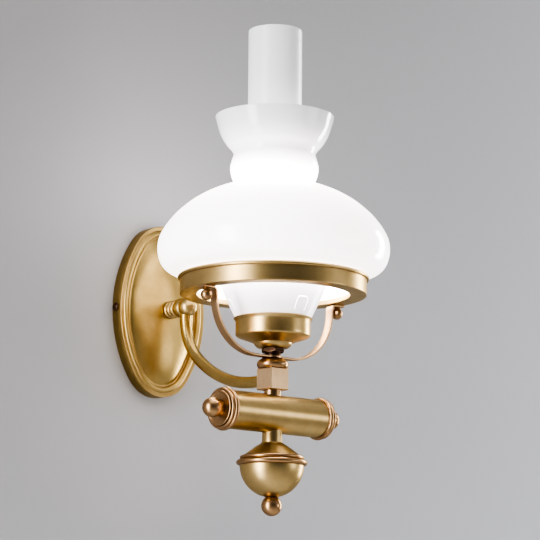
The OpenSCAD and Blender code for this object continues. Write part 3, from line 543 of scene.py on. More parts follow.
def moulded(name, base, deep, roughness, grit_mm, ior=1.5, depth_mm=0.01, glow=0.0):
    """A smooth non-metal finish with slight clouds, fine unevenness and rubbed edges."""
    made = bpy.data.materials.new(name)
    made.use_nodes = True
    tree = made.node_tree
    tree.nodes.clear()
    where = place_in_mm(tree, (0, 0, 0), "Z")
    cloud = put(tree, "ShaderNodeTexNoise", None,
                {"Vector": where.outputs[0], "Scale": 1 / 14, "Detail": 3.0})
    grit = put(tree, "ShaderNodeTexNoise", None,
               {"Vector": where.outputs[0], "Scale": 1 / grit_mm, "Detail": 2.0})
    toned = blend_tones(tree, ranged(tree, cloud.outputs[0], 0.35, 0.65, 0.0, 0.4), base, deep)
    mask = worn_edges(tree, 0.8, 0.2, grit.outputs[0])
    held = put(tree, "ShaderNodeMath", {"operation": "MULTIPLY"}, {0: mask, 1: 0.35})
    final = blend_tones(tree, held.outputs[0], toned, (1.0, 1.0, 1.0, 1.0))
    rough = ranged(tree, grit.outputs[0], 0.3, 0.7, roughness - 0.04, roughness + 0.06)
    bump = put(tree, "ShaderNodeBump", None,
               {"Strength": 1.0, "Distance": depth_mm * MM, "Height": grit.outputs[0]})
    values = {"Base Color": final, "Roughness": rough, "IOR": ior, "Normal": bump.outputs[0]}
    # Painted glow: emission that stands in for the bulb's light falling on the piece.
    if glow:
        values.update({"Emission Color": colour("glow"), "Emission Strength": glow})
    shader = put(tree, "ShaderNodeBsdfPrincipled", None, values)
    put(tree, "ShaderNodeOutputMaterial", None, {"Surface": shader.outputs[0]})
    return made


def lit_glass(name, base, roughness, steps, strength, alpha=1.0, wave_mm=26):
    """Glass lit by the bulb: its glow changes with height, by steps of (height in mm, level)."""
    made = bpy.data.materials.new(name)
    made.use_nodes = True
    tree = made.node_tree
    tree.nodes.clear()
    where = place_in_mm(tree, (0, 0, 0), "Z")
    height = put(tree, "ShaderNodeSeparateXYZ", None, {0: where.outputs[0]})
    low, high = steps[0][0], steps[-1][0]
    along = ranged(tree, height.outputs[2], low, high, 0.0, 1.0)
    ramp = put(tree, "ShaderNodeValToRGB", None, {0: along})
    ramp.color_ramp.interpolation = "B_SPLINE"
    stops = ramp.color_ramp.elements
    while len(stops) < len(steps):
        stops.new(0.5)
    for stop, (z, level) in zip(stops, steps):
        stop.position = (z - low) / (high - low)
        stop.color = (level, level, level, 1)
    cloud = put(tree, "ShaderNodeTexNoise", None,
                {"Vector": where.outputs[0], "Scale": 1 / wave_mm, "Detail": 2.0})
    toned = blend_tones(tree, ranged(tree, cloud.outputs[0], 0.35, 0.65, 0.0, 0.05),
                        base, (0.6, 0.58, 0.62, 1.0))
    light = blend_tones(tree, ramp.outputs[0], (0.0, 0.0, 0.0, 1.0), colour("glow"))
    rough = ranged(tree, cloud.outputs[0], 0.3, 0.7, roughness - 0.02, roughness + 0.03)
    bump = put(tree, "ShaderNodeBump", None,
               {"Strength": 1.0, "Distance": 0.12 * MM, "Height": cloud.outputs[0]})
    shader = put(tree, "ShaderNodeBsdfPrincipled", None,
                 {"Base Color": toned, "Roughness": rough, "IOR": 1.5, "Alpha": alpha,
                  "Emission Color": light, "Emission Strength": strength, "Normal": bump.outputs[0]})
    put(tree, "ShaderNodeOutputMaterial", None, {"Surface": shader.outputs[0]})
    return made


FINISH = {}


def finish(name):
    """The named finish, made once."""
    if name not in FINISH:
        s, h = sizes(), heights()
        axis = (0, -s["reach"] * MM, 0)
        level = (0, -s["reach"] * MM, h["barrel"] * MM)
        brass = (colour("brass"), colour("brass_shade"), colour("copper"))
        golden = (colour("golden"), colour("golden_shade"), colour("copper"))
        antique = (colour("antique"), colour("antique_shade"), colour("copper"))
        brushed = (colour("brushed"), colour("brushed_shade"), colour("copper"))
        block = (colour("block"), colour("block_shade"), colour("copper"))
        makers = {
            # Spun sheet, satined on the lathe and lacquered: soft highlights with fine rings. The
            # real rings are too fine to show, so they are drawn 0.9 mm apart.
            "spun brass upright": lambda: metal(name, *brass, "turned", "Z", axis, 0.33, 0.9, 0.0005),
            "spun brass cup": lambda: metal(name, *brass, "turned", "Z", axis, 0.3, 0.9, 0.0005),
            "spun brass level": lambda: metal(name, *brass, "turned", "X", level, 0.33, 0.9, 0.0005),
            "spun brass on wall": lambda: metal(
                name, *brass, "turned", "Y", (0, 0, 0), 0.33, 0.9, 0.0005),
            # Pressed sheet, satined by hand: clouds and a faint grit, no clear lines.
            "pressed satin brass": lambda: metal(
                name, *golden, "plain", "Z", (0, 0, 0), 0.36, 0.8, 0.001),
            # Bent tube: golden satin brass with clouds and a faint grit, no clear lines.
            "drawn brass tube": lambda: metal(
                name, *golden, "plain", "Z", (0, 0, 0), 0.25, 1.0, 0.001),
            # Turned rod, darkened and relieved: brown with copper-coloured edges.
            "antique brass upright": lambda: metal(
                name, *antique, "turned", "Z", axis, 0.3, 0.8, 0.001),
            "antique brass level": lambda: metal(
                name, *antique, "turned", "X", level, 0.3, 0.8, 0.001),
            # Flat stock drawn over a belt: the block pale, with clear straight lines 0.7 mm apart; the bow
            # with a faint grit.
            "brushed brass block": lambda: metal(
                name, *block, "drawn", "Z", axis, 0.42, 0.7, 0.02, wear=0.5, lacquer=0.0, line_tone=0.3),
            "brushed brass bow": lambda: metal(
                name, *brushed, "plain", "Z", axis, 0.34, 0.8, 0.002, wear=0.6, lacquer=0.0),
            "browned steel": lambda: metal(
                name, colour("nut"), (0.02, 0.014, 0.01, 1), colour("copper"), "plain", "Z", axis,
                0.42, 0.8, 0.004, wear=0.3, lacquer=0.0),
            "zinc-plated steel": lambda: metal(
                name, colour("zinc"), (0.2, 0.2, 0.19, 1), (0.7, 0.7, 0.68, 1), "plain", "Z",
                (0, 0, 0), 0.35, 1.2, 0.006, lacquer=0.0),
            "white polyamide": lambda: moulded(
                name, (*linear("#e6e3da"), 1), (*linear("#cfcbbf"), 1), 0.42, 0.9, 1.53),
            "black phenolic": lambda: moulded(
                name, (*linear("#2a2624"), 1), (*linear("#1a1716"), 1), 0.28, 1.1, 1.6),
            "cable sheath": lambda: moulded(
                name, (*linear("#d9d7d2"), 1), (*linear("#bdbab2"), 1), 0.5, 0.8, 1.5),
            # Fired enamel on the cone: even white with a soft gloss, and a painted glow for the bulb's light
            # falling on it from behind.
            "white enamel": lambda: moulded(
                name, colour("enamel"), (*linear("#dddae4"), 1), 0.3, 3.0, 1.5, 0.015, glow=0.22),
            # Opal glass: its body glows softly, its neck most, and its flare hardly at all.
            "opal glass outside": lambda: lit_glass(
                name, colour("opal"), 0.12, [(-3, 0.48), (30, 0.44), (60, 0.44), (92, 1.0),
                                             (101, 1.0), (116, 0.04), (150, 0.0)], 3.0),
            "opal glass inside": lambda: lit_glass(
                name, colour("opal"), 0.2, [(-3, 0.9), (60, 0.9), (100, 0.9), (118, 0.4),
                                            (150, 0.04)], 4.0),
            "frosted glass": lambda: lit_glass(
                name, colour("frosted"), 0.32, [(-25, 0.9), (90, 0.4), (130, 0.05), (224, 0.05)],
                2.0, alpha=0.85),
            "bulb glass": lambda: lit_glass(
                name, colour("opal"), 0.2, [(0, 0.4), (30, 1.0), (70, 1.0), (105, 0.9)], 2.0),
        }
        FINISH[name] = makers[name]()
    return FINISH[name]


# ---------------------------------------------------------------- pieces at the wall


def oval_loop(s, inset_x, height, count=144):
    """One loop of the four-arc oval, at a distance from its end centres and a height."""
    end_c = s["plate_h"] / 2 - s["plate_end"]
    gap = s["plate_w"] / 2 - s["plate_end"]
    side_c = (end_c**2 - gap**2) / (2 * gap)
    side_r = s["plate_w"] / 2 + side_c
    join = math.atan2(end_c, side_c)
    loop = []
    quarter = count // 4
    arcs = [((-side_c, 0), side_r, -join, join), ((0, end_c), s["plate_end"], join, math.pi - join),
            ((side_c, 0), side_r, math.pi - join, math.pi + join),
            ((0, -end_c), s["plate_end"], math.pi + join, 2 * math.pi - join)]
    for (cx, cy), r, a, b in arcs:
        for k in range(quarter):
            t = a + (b - a) * k / quarter
            d = r - s["plate_end"] + inset_x
            loop.append((cx + d * math.cos(t), cy + d * math.sin(t), height))
    return loop


def plate_loops(s, inner):
    """Loops of the wall plate's outer or inner skin, from its foot to the hole in its crown."""
    t = s["plate_t"]
    rr, side = s["plate_end"], s["plate_side"]
    bead_x, bead_r, groove = rr - 6.2, 2.9, side - 1.6
    valley_x, dome_x = rr - 3.3, rr - 10.2
    if inner:
        line = eased([(rr - t, 0), (rr - t, side - 0.7 - t), (valley_x, side - 0.7 - t),
                      (valley_x - 0.8, groove - t), (dome_x - 0.6, groove - t)], 0.4, closed=False)
    else:
        line = eased([(rr, 0), (rr, side), (valley_x, side - 0.5), (bead_x + 2.6, side - 0.35)],
                     0.5, closed=False)
        line += arc(bead_x, side - 1.5, bead_r, 27, 176, 20)
        line += [(bead_x - bead_r + 0.02, groove + 0.25), (bead_x - bead_r - 0.25, groove)]
    loops = [oval_loop(s, x, h) for x, h in line]
    rise = s["plate_crown"] - groove
    hole_r = s["tube_r"] + 0.2
    start = dome_x - (0.8 if inner else 0.0)
    steps = 28
    for k in range(1, steps + 1):
        u = k / steps
        swell = groove + rise * (1 - (1 - u) ** 2.1) - (t if inner else 0.0)
        share = u**1.8  # the oval turns by this share into the round hole
        ring = []
        for x, y, _ in oval_loop(s, start - (start - 5.0) * u, 0):
            a = math.atan2(y, x)
            ring.append((x * (1 - share) + hole_r * math.cos(a) * share,
                         y * (1 - share) + hole_r * math.sin(a) * share, swell))
        loops.append(ring)
    return loops


def skinned(name, loops, place, material, closed=True):
    """A mesh through loops of equal length, closed from the last loop to the first."""
    count = len(loops[0])
    points = [p for loop in loops for p in loop]
    faces = []
    for i in range(len(loops) if closed else len(loops) - 1):
        a, b = i * count, (i + 1) % len(loops) * count
        for k in range(count):
            n = (k + 1) % count
            faces.append((a + k, a + n, b + n, b + k))
    mesh = bpy.data.meshes.new(name)
    mesh.from_pydata(points, [], faces)
    obj = bpy.data.objects.new(name, mesh)
    bpy.context.scene.collection.objects.link(obj)
    return settled(obj, place, material)


class LAMP_OT_wall_plate(bpy.types.Operator):
    """Make the oval wall plate with its rolled bead and dome"""

    bl_idname = "lamp.wall_plate"
    bl_label = "Wall plate"

    def execute(self, context):
        s = sizes()
        loops = plate_loops(s, False) + plate_loops(s, True)[::-1]
        plate = skinned("wall_plate_pressed", loops, from_wall(), finish("pressed satin brass"))
        stands_for(plate, "wall_plate")
        return {"FINISHED"}


def slotted_head(s):
    """Round head with a slot and a short shank, drawn along Z from its seat."""
    head_r, head_h = 3.5, 1.9
    shank = eased([(0, -7), (1.9, -7), (1.9, 0), (head_r, 0)], 0.25, closed=False)
    top = [(head_r * math.cos(math.radians(a)), 0.3 + (head_h - 0.3) * math.sin(math.radians(a)))
           for a in range(0, 91, 10)]
    head = turned("plate_screw", shank + top, Matrix.Diagonal((MM, MM, MM, 1)),
                  finish("spun brass on wall"), closed=False, steps=48)
    cutter_mesh = bpy.data.meshes.new("slot")
    work = bmesh.new()
    bmesh.ops.create_cube(work, size=1.0, matrix=Matrix.Diagonal((0.9 * MM, 0.02, 1.4 * MM, 1)))
    bmesh.ops.translate(work, verts=work.verts, vec=(0, 0, (head_h + 0.15) * MM))
    work.to_mesh(cutter_mesh)
    work.free()
    cutter = bpy.data.objects.new("slot", cutter_mesh)
    bpy.context.scene.collection.objects.link(cutter)
    cut = head.modifiers.new("slot", "BOOLEAN")
    cut.operation, cut.object, cut.solver = "DIFFERENCE", cutter, "EXACT"
    bpy.context.view_layer.update()
    ready = head.evaluated_get(bpy.context.evaluated_depsgraph_get())
    mesh = bpy.data.meshes.new_from_object(ready)
    head.modifiers.clear()
    head.data = mesh
    bpy.data.objects.remove(cutter)
    return head


class LAMP_OT_plate_screws(bpy.types.Operator):
    """Make the two small screws in the sides of the wall plate"""

    bl_idname = "lamp.plate_screws"
    bl_label = "Plate screws"

    def execute(self, context):
        s = sizes()
        screws = slotted_head(s)
        seat = Matrix.Translation((s["plate_w"] / 2 * MM, 0, (s["plate_side"] / 2 - 1.2) * MM))
        screws.data.transform(seat @ Matrix.Rotation(math.pi / 2, 4, "Y"))
        look = finish("browned steel")
        grown(screws, "copies", look, {"Count": 2, "Turn": math.pi})
        settled(screws, Matrix.Rotation(math.pi / 2, 4, "X"), look)
        screws.name = "plate_screws_slotted"
        for face in screws.data.polygons:
            face.use_smooth = False
        stands_for(screws, "plate_screws")
        return {"FINISHED"}


class LAMP_OT_hidden_fixings(bpy.types.Operator):
    """Finish the bracket, terminal block, nuts and cable behind the wall plate"""

    bl_idname = "lamp.hidden_fixings"
    bl_label = "Hidden fixings"

    def execute(self, context):
        dress(finish("zinc-plated steel"), "wall_bracket", "terminal_screws", "canopy_washer",
              "canopy_nut", "drop_nipple", "cross_block", "barrel_studs", "bowl_rod")
        dress(finish("white polyamide"), "terminal_block", "holder_body")
        dress(finish("spun brass on wall"), "earth_screw", "canopy_nipple")
        dress(finish("cable sheath"), "lamp_cable")
        return {"FINISHED"}


# ---------------------------------------------------------------- arm


def arm_points(s):
    """Path of the arm from the outer ball to the block, as distance from the wall and height."""
    bend_a = math.radians(50)
    start_d, start_z = s["arm_out"], -s["arm_start"]
    first = s["arm_bend"]
    block_d = s["reach"] - 9.5
    second = (block_d - 13 - start_d - first * (1 - math.cos(bend_a))) / math.cos(bend_a)
    path = [(start_d, -4.6), (start_d, -6.5), (start_d, start_z)]
    for k in range(1, 25):
        a = bend_a * k / 24
        path.append((start_d + first * (1 - math.cos(a)), start_z - first * math.sin(a)))
    d0, z0 = path[-1]
    cx, cz = d0 + second * math.cos(bend_a), z0 + second * math.sin(bend_a)
    for k in range(1, 29):
        a = bend_a + (math.pi / 2 - bend_a) * k / 28
        path.append((cx - second * math.cos(a), cz - second * math.sin(a)))
    d1, z1 = path[-1]
    path += [(d1 + 6, z1), (s["reach"] - s["tube_r"] - 0.3, z1)]
    return path


class LAMP_OT_arm(bpy.types.Operator):
    """Make the ribbed collar, the knuckle of two balls and the bent arm tube"""

    bl_idname = "lamp.arm"
    bl_label = "Arm"

    def execute(self, context):
        s = sizes()
        crown, bore, length = s["plate_crown"], s["tube_r"] + 0.15, s["collar_l"]
        rib = length / 6
        line = [(bore, 0.05)]
        for k in range(3):
            line += arc(s["collar_r"] - rib, rib * (1 + 2 * k), rib, -82, 82, 12)
        line += [(bore, length - 0.05)]
        collar = turned("arm_collar_ribbed", [(r, crown + h) for r, h in line], from_wall(),
                        finish("spun brass on wall"))
        stands_for(collar, "arm_collar")

        start = crown + length
        inner, outer = s["knuckle_r"], s["socket_r"]
        one, two = start + inner * 0.56, s["arm_out"] + 2.8
        crease = (one + two) / 2 + (inner**2 - outer**2) / (2 * (two - one))
        low = -math.degrees(math.asin((one - start - 0.1) / inner))
        line = [(0, start + 0.1), (inner * math.cos(math.radians(low)) - 0.3, start + 0.1)]
        line += arc(0, one, inner, low + 1, math.degrees(math.asin((crease - one) / inner)) - 2, 20)
        line += arc(0, two, outer, math.degrees(math.asin((crease - two) / outer)) + 2, 89.5, 34)
        line += [(0, two + outer)]
        knuckle = turned("arm_knuckle_balls", line, from_wall(), finish("spun brass on wall"),
                         closed=False)
        stands_for(knuckle, "arm_knuckle")

        tube = line_object("arm_tube_bent", [(0, -d * MM, z * MM) for d, z in arm_points(s)], False)
        grown(tube, "rod", finish("drawn brass tube"), {"Radius": s["tube_r"] * MM, "Sides": 48})
        stands_for(settled(tube, Matrix.Identity(4), finish("drawn brass tube")), "arm_tube")
        return {"FINISHED"}


# ---------------------------------------------------------------- stem, bow and ring


class LAMP_OT_stem(bpy.types.Operator):
    """Finish the block, stem and nut, and make the bead collar on the block"""

    bl_idname = "lamp.stem"
    bl_label = "Block and stem"

    def execute(self, context):
        s, h = sizes(), heights()
        dress(finish("brushed brass block"), "arm_block")
        dress(finish("browned steel"), "stem_nipple", "stem_nut")
        top = h["bow"] - h["block_top"]
        r, bore = s["bead_r"], s["tube_r"] + 0.15
        line = curved([(r - 1.6, 0.02), (r - 0.7, top * 0.12), (r - 0.1, top * 0.28), (r, top * 0.43),
                       (r - 0.5, top * 0.6), (r - 1.7, top * 0.77), (r - 3.2, top * 0.9),
                       (r - 4.8, top - 0.02)], 4)
        line = [(bore, 0.02)] + line + [(bore, top - 0.02)]
        collar = turned("bead_collar_turned", eased(line, 0.3), on_axis(h["block_top"]),
                        finish("antique brass upright"))
        stands_for(collar, "bead_collar")
        return {"FINISHED"}


def bow_line(s):
    """Middle line of the bow's strip from foot to foot, seen from the front, from its underside."""
    t = s["bow_t"]
    o = s["ring_open"] + 0.6 - t / 2
    bend = s["bow_r"] - t / 2
    cx = s["ring_open"] + 0.6 - s["bow_r"]
    foot = 3.5 + t / 2
    foot_x = s["ring_r"] - 0.8
    top = s["bow_h"] - t / 2
    half = [(0.0, t / 2), (cx * 0.5, t / 2)] + arc(cx, s["bow_r"], bend, -90, 0, 30)
    half += [(o, s["bow_r"] + (top - foot - s["bow_r"]) * 0.6)]
    half += arc(o + foot, top - foot, foot, 180, 90, 14) + [(foot_x, top)]
    return [(-x, z) for x, z in half[:0:-1]] + half


class LAMP_OT_bow(bpy.types.Operator):
    """Make the strip bow with its bent feet, and the two ball screws under them"""

    bl_idname = "lamp.bow"
    bl_label = "Bow"

    def execute(self, context):
        s, h = sizes(), heights()
        look = finish("brushed brass bow")
        path = [(x * MM, -s["reach"] * MM, (h["bow"] + z) * MM) for x, z in bow_line(s)]
        bow = line_object("ring_bow_strip", path, False)
        grown(bow, "strip", look, {"Width": s["bow_w"] * MM, "Thickness": s["bow_t"] * MM})
        eye_r = s["tube_r"] + 1.7
        eye = turned("eye", eased([(s["tube_r"] + 0.15, 0.02), (eye_r, 0.02), (eye_r, s["bow_t"] - 0.02),
                                   (s["tube_r"] + 0.15, s["bow_t"] - 0.02)], 0.3),
                     on_axis(h["bow"]), look, steps=64)
        work = bmesh.new()
        work.from_mesh(bow.data)
        work.from_mesh(eye.data)
        work.to_mesh(bow.data)
        work.free()
        bpy.data.objects.remove(eye)
        stands_for(settled(bow, Matrix.Identity(4), look), "ring_bow")

        ball = s["ball_screw_r"]
        foot_x = s["ring_r"] - 0.8
        screw_x = (s["ring_open"] + 0.6 + 3.5 + foot_x) / 2 - 0.5
        neck_a = math.degrees(math.acos(2.7 / ball))
        line = [(0, -0.7 - 2 * ball)] + arc(0, -0.7 - ball, ball, -88, neck_a - 3, 28)
        line += [(2.7, -0.6), (2.7, -0.02), (1.9, -0.02)]
        line += [(1.9, s["bow_t"] + 2.2), (0, s["bow_t"] + 2.2)]
        look = finish("antique brass upright")
        screws = turned("ring_screws_ball", line, Matrix.Diagonal((MM, MM, MM, 1)), look, closed=False,
                        steps=64)
        screws.data.transform(Matrix.Translation((screw_x * MM, 0, 0)))
        grown(screws, "copies", look, {"Count": 2, "Turn": math.pi})
        place = Matrix.Translation((0, -s["reach"] * MM, (h["ring"] - s["bow_t"]) * MM))
        stands_for(settled(screws, place, look), "ring_screws")
        return {"FINISHED"}


class LAMP_OT_shade_ring(bpy.types.Operator):
    """Make the channel-shaped ring that carries the glass shade"""

    bl_idname = "lamp.shade_ring"
    bl_label = "Shade ring"

    def execute(self, context):
        s, h = sizes(), heights()
        r, t, top, bead = s["ring_r"], 1.4, s["ring_h"], 1.6
        lip, hole = s["ring_lip"], s["ring_open"]
        line = [(hole, 0), (r, 0), (r, top - 2.9)]
        line += arc(r + 2 - bead, top - bead, bead, -105, 160, 18)
        line += [(r - t, top - bead), (r - t, t), (hole + t, t), (hole + t, lip), (hole, lip)]
        ring = turned("shade_ring_rolled", eased(line, 0.8), on_axis(h["ring"]),
                      finish("spun brass upright"), steps=256)
        stands_for(ring, "shade_ring")
        return {"FINISHED"}


# ---------------------------------------------------------------- cup, cone, holder, bulb


class LAMP_OT_cup(bpy.types.Operator):
    """Make the cup under the cone, and finish the cone and the lamp holder inside it"""

    bl_idname = "lamp.cup"
    bl_label = "Cup and holder"

    def execute(self, context):
        s, h = sizes(), heights()
        r, top = s["cup_r"], s["cup_h"]
        foot = curved([(10.6, 0.1), (12.3, 0.5), (13.8, 1.4), (15, 2.6), (15.7, 3.7), (16.1, 4.7)], 4)
        foot += [(17.3, 5.25)] + curved([(18.6, 5.7), (r - 10, 6.6), (r - 5.6, 8.1), (r - 1.7, 9.5)], 3)
        foot += curved([(r - 0.9, 9.95), (r - 0.25, 10.6), (r, 11.5)], 4)
        line = [(s["tube_r"] + 0.15, 0.0), (9.6, 0.0)] + foot
        line += [(r, 13.0), (r, top - 4.2)] + curved([(r, top - 2.8), (r + 0.7, top - 1.5),
                                                     (r + 1.75, top - 0.05)], 5)
        cup = turned("burner_cup_spun", eased(walled(line, 1.0), 0.25), on_axis(h["cup"]),
                     finish("spun brass cup"))
        stands_for(cup, "burner_cup")
        dress(finish("white enamel"), "burner_cone")
        dress(finish("black phenolic"), "holder_cap", "holder_ring")
        dress(finish("spun brass upright"), "holder_thread", "holder_contact", "chimney_gallery")
        return {"FINISHED"}


class LAMP_OT_bulb(bpy.types.Operator):
    """Make the bulb's glass and finish its screw cap"""

    bl_idname = "lamp.bulb"
    bl_label = "Bulb"

    def execute(self, context):
        s, h = sizes(), heights()
        k, r = s["bulb_l"] / 99, s["bulb_r"]
        line = curved([(6.4, 0), (7.2, 6 * k), (10.4, 16 * k), (r - 2.2, 28 * k), (r, 41 * k),
                       (r - 2, 56 * k), (r - 6.5, 72 * k), (6, 86 * k), (2.8, 95 * k), (0, 99 * k)], 4)
        bulb = turned("bulb_glass_blown", [(0, 0)] + line, on_axis(h["bulb"]), finish("bulb glass"),
                      closed=False, steps=96)
        stands_for(bulb, "bulb_glass")
        dress(finish("zinc-plated steel"), "bulb_cap")
        return {"FINISHED"}


class LAMP_OT_chimney(bpy.types.Operator):
    """Make the frosted glass chimney with its fire-polished ends"""

    bl_idname = "lamp.chimney"
    bl_label = "Chimney"

    def execute(self, context):
        s, h = sizes(), heights()
        r, t, top = s["chimney_r"], s["chimney_t"], s["chimney_l"]
        line = [(r - t, 0), (r, 0)] + [(r, top * k / 8) for k in range(1, 8)]
        line += [(r, top), (r - t, top)] + [(r - t, top * k / 8) for k in range(7, 0, -1)]
        glass = turned("chimney_frosted", eased(line, 0.9), on_axis(h["chimney"]),
                       finish("frosted glass"))
        stands_for(glass, "chimney")
        return {"FINISHED"}


def shade_outline(s):
    """Outer line of the glass shade from its fitting edge to its mouth."""
    r, w, m = s["shade_r"], s["waist_r"], s["mouth_r"]
    fit = s["ring_r"] - 1.4 - 0.4 - 1
    over = s["ring_h"] - 1.4 + 1.2

    def up(z):
        return over + z * s["shade_h"] / 132

    points = [
        (fit, 0), (fit, over - 3), (fit + 0.6, over - 0.6), (fit + 5, up(0.6)),
        (r - 8.2, up(3.8)), (r - 3.3, up(8.6)), (r - 0.8, up(15)), (r - 0.05, up(21.7)),
        (r - 1.4, up(29.5)), (r - 5.8, up(37.6)), (r - 10, up(43.2)), (r - 15.4, up(49.2)),
        (r - 26.4, up(58.4)), (r - 38.6, up(65.6)), (w + 13.2, up(70.3)), (w + 4.6, up(73.4)),
        (w, up(76.8)), (w + 1.7, up(82)), (w + 2.8, up(89)), (w + 1.4, up(95.5)),
        (w + 0.1, up(100.4)), (w + 2, up(104.4)), (w + 6.4, up(109.2)), (m - 4.8, up(117)),
        (m - 1.5, up(127)), (m - 0.1, up(131.9)),
    ]
    return [(min(x, r), z) for x, z in curved(points, 4)]


class LAMP_OT_shade(bpy.types.Operator):
    """Make the opal glass shade with its waist and flared mouth"""

    bl_idname = "lamp.shade"
    bl_label = "Glass shade"

    def execute(self, context):
        s, h = sizes(), heights()
        outer = shade_outline(s)
        skin = walled(outer, s["shade_t"])
        shade = turned("glass_shade_blown", eased(skin, 1.2), on_axis(h["glass"]),
                       finish("opal glass outside"), steps=256)
        mesh = shade.data
        mesh.materials.append(finish("opal glass inside"))
        middle = Vector((0, -s["reach"] * MM, 0))
        # A face belongs to the skin whose line lies nearer.
        line = [Vector(p) * MM for p in skin]
        for face in mesh.polygons:
            c = face.center - middle
            spot = Vector((math.hypot(c.x, c.y), c.z - h["glass"] * MM))
            near = min(range(len(line)), key=lambda k: (spot - line[k]).length)
            face.material_index = 0 if near < len(outer) else 1
        stands_for(shade, "glass_shade")
        return {"FINISHED"}


# ---------------------------------------------------------------- barrel and bowl


class LAMP_OT_barrel(bpy.types.Operator):
    """Make the level barrel with its flanges, dished discs and ball knobs"""

    bl_idname = "lamp.barrel"
    bl_label = "Barrel"

    def execute(self, context):
        s = sizes()
        r, half = s["barrel_r"], s["barrel_l"] / 2
        line = [(r - 1.2, -half), (r, -half), (r, 0), (r, half), (r - 1.2, half), (r - 1.2, 0)]
        tube = turned("barrel_tube_spun", eased(line, 0.3), on_barrel(), finish("spun brass level"))
        stands_for(tube, "barrel_tube")
        dress(finish("antique brass upright"), "barrel_neck")
        bore = 3.15
        edge = r + s["flange_over"]
        flange = [(bore, 2.2), (r + 0.06, 2.2), (r + 0.06, 0.1), (r + 0.85, 0.1)]
        flange += arc(edge - 1.8, 2.8, 1.8, -72, 72, 14) + [(edge - 2.1, 4.6)]
        flange += arc(edge - 2.5, 6.1, 1.5, -70, 155, 18) + [(bore, 6.6)]
        d = s["disc_r"]
        disc = [(bore, 0.02), (9, 0.02)]
        disc += curved([(d - 1.6, 0.5), (d - 0.4, 1), (d, 1.6), (d - 0.2, 2.1), (d - 0.8, 2.28),
                        (d - 1.5, 2), (d - 2.6, 1.5), (9, 1.2)], 4) + [(bore, 1.2)]
        k = s["knob_r"]
        start, mid, neck = 5.65, 13.4, 6.8
        knob = eased([(0, start), (neck, start), (neck, mid - math.sqrt(k * k - neck * neck) - 0.2)], 0.3,
                     closed=False)
        knob += arc(0, mid, k, -math.degrees(math.acos(neck / k)) + 2, 89, 30) + [(0, mid + k)]
        for side, word in ((1, "right"), (-1, "left")):
            place = on_barrel(side)
            made = turned(f"barrel_flange_{word}_turned",
                          [(x, half - 2.2 + z) for x, z in eased(flange, 0.25)], place,
                          finish("antique brass level"))
            stands_for(made, f"barrel_flange_{word}")
            made = turned(f"barrel_disc_{word}_dished",
                          [(x, half + 4.4 + z) for x, z in eased(disc, 0.2)], place,
                          finish("antique brass level"))
            stands_for(made, f"barrel_disc_{word}")
            made = turned(f"barrel_knob_{word}_ball", [(x, half + z) for x, z in knob], place,
                          finish("antique brass level"), closed=False)
            stands_for(made, f"barrel_knob_{word}")
        return {"FINISHED"}


def relieve(obj, look, beyond):
    """Gives the faces beyond a radius, in millimetres from the lamp's axis, a second finish."""
    obj.data.materials.append(look)
    middle = -sizes()["reach"] * MM
    for face in obj.data.polygons:
        if math.hypot(face.center.x, face.center.y - middle) > beyond * MM:
            face.material_index = 1


class LAMP_OT_bowl(bpy.types.Operator):
    """Make the cone-shaped cover, the bowl with its rolled rim and the ball finial"""

    bl_idname = "lamp.bowl"
    bl_label = "Bowl"

    def execute(self, context):
        s, h = sizes(), heights()
        look, bead_look = finish("spun brass upright"), finish("antique brass upright")
        r, top, neck, bore = s["bowl_r"], s["cover_h"], 8.3, 4.15
        slope = curved([(neck + 0.9, top), (neck + 1.5, top * 0.93), (r * 0.506, top * 0.78),
                        (r * 0.656, top * 0.58), (r * 0.774, top * 0.42), (r * 0.86, top * 0.3),
                        (r - 1.9, top * 0.2 + 0.5)], 4)
        rim = arc(r - 1.8, 1.8, 1.8, 62, -90, 16)
        under = [(r - 3.4, 0.3), (r - 3.6, 1.2)]
        under += [(x - 0.4, z - 1.15) for x, z in slope[-2:3:-1]]
        line = slope + rim + under + [(neck, top - 1.2), (bore, top - 1.2), (bore, top)]
        cover = turned("bowl_cover_spun", eased(line, 0.3), on_axis(h["cover"]), look)
        relieve(cover, bead_look, r - 2.2)
        stands_for(cover, "bowl_cover")

        bead_r, rise = 2.2, h["cover"] - 2.2
        centre = rise - 2.2
        low = -math.degrees(math.asin(math.sqrt(1 - (bore / r) ** 2)))
        outer = arc(0, centre, r, low, -1, 48) + [(r, centre + 0.4)]
        outer += arc(r + s["bowl_bead"] - bead_r, rise, bead_r, -130, 118, 22)
        inner = [(r - 1.2, h["cover"] - 0.02), (r - 1.2, centre)]
        inner += arc(0, centre, r - 1.2, -2, low, 40)
        bowl = turned("bowl_body_spun", outer + [(r, h["cover"] - 0.02)] + inner, on_axis(), look)
        relieve(bowl, bead_look, r + 0.1)
        stands_for(bowl, "bowl_body")

        f = s["finial_r"]
        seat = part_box("bowl_finial")[1].z / MM
        mid = h["finial"] + f
        line = [(0, h["finial"])] + arc(0, mid, f, -89, math.degrees(math.asin((seat - mid) / f)), 30)
        line += [(0, seat)]
        ball = turned("bowl_finial_ball", line, on_axis(), bead_look, closed=False)
        stands_for(ball, "bowl_finial")
        dress(look, "bowl_neck")
        return {"FINISHED"}


# ---------------------------------------------------------------- studio


PHOTO_TURN = -41.0  # degrees round the lamp, from straight in front
PHOTO_TILT = 10.22  # degrees that the camera looks up
PHOTO_ROLL = 0.5  # degrees that the camera leans


def photo_axes():
    a, p = math.radians(PHOTO_TURN), math.radians(PHOTO_TILT)
    back = Vector((math.sin(a), -math.cos(a), 0))
    right = Vector((math.cos(a), math.sin(a), 0))
    look = -back * math.cos(p) + Vector((0, 0, math.sin(p)))
    return back, right, look


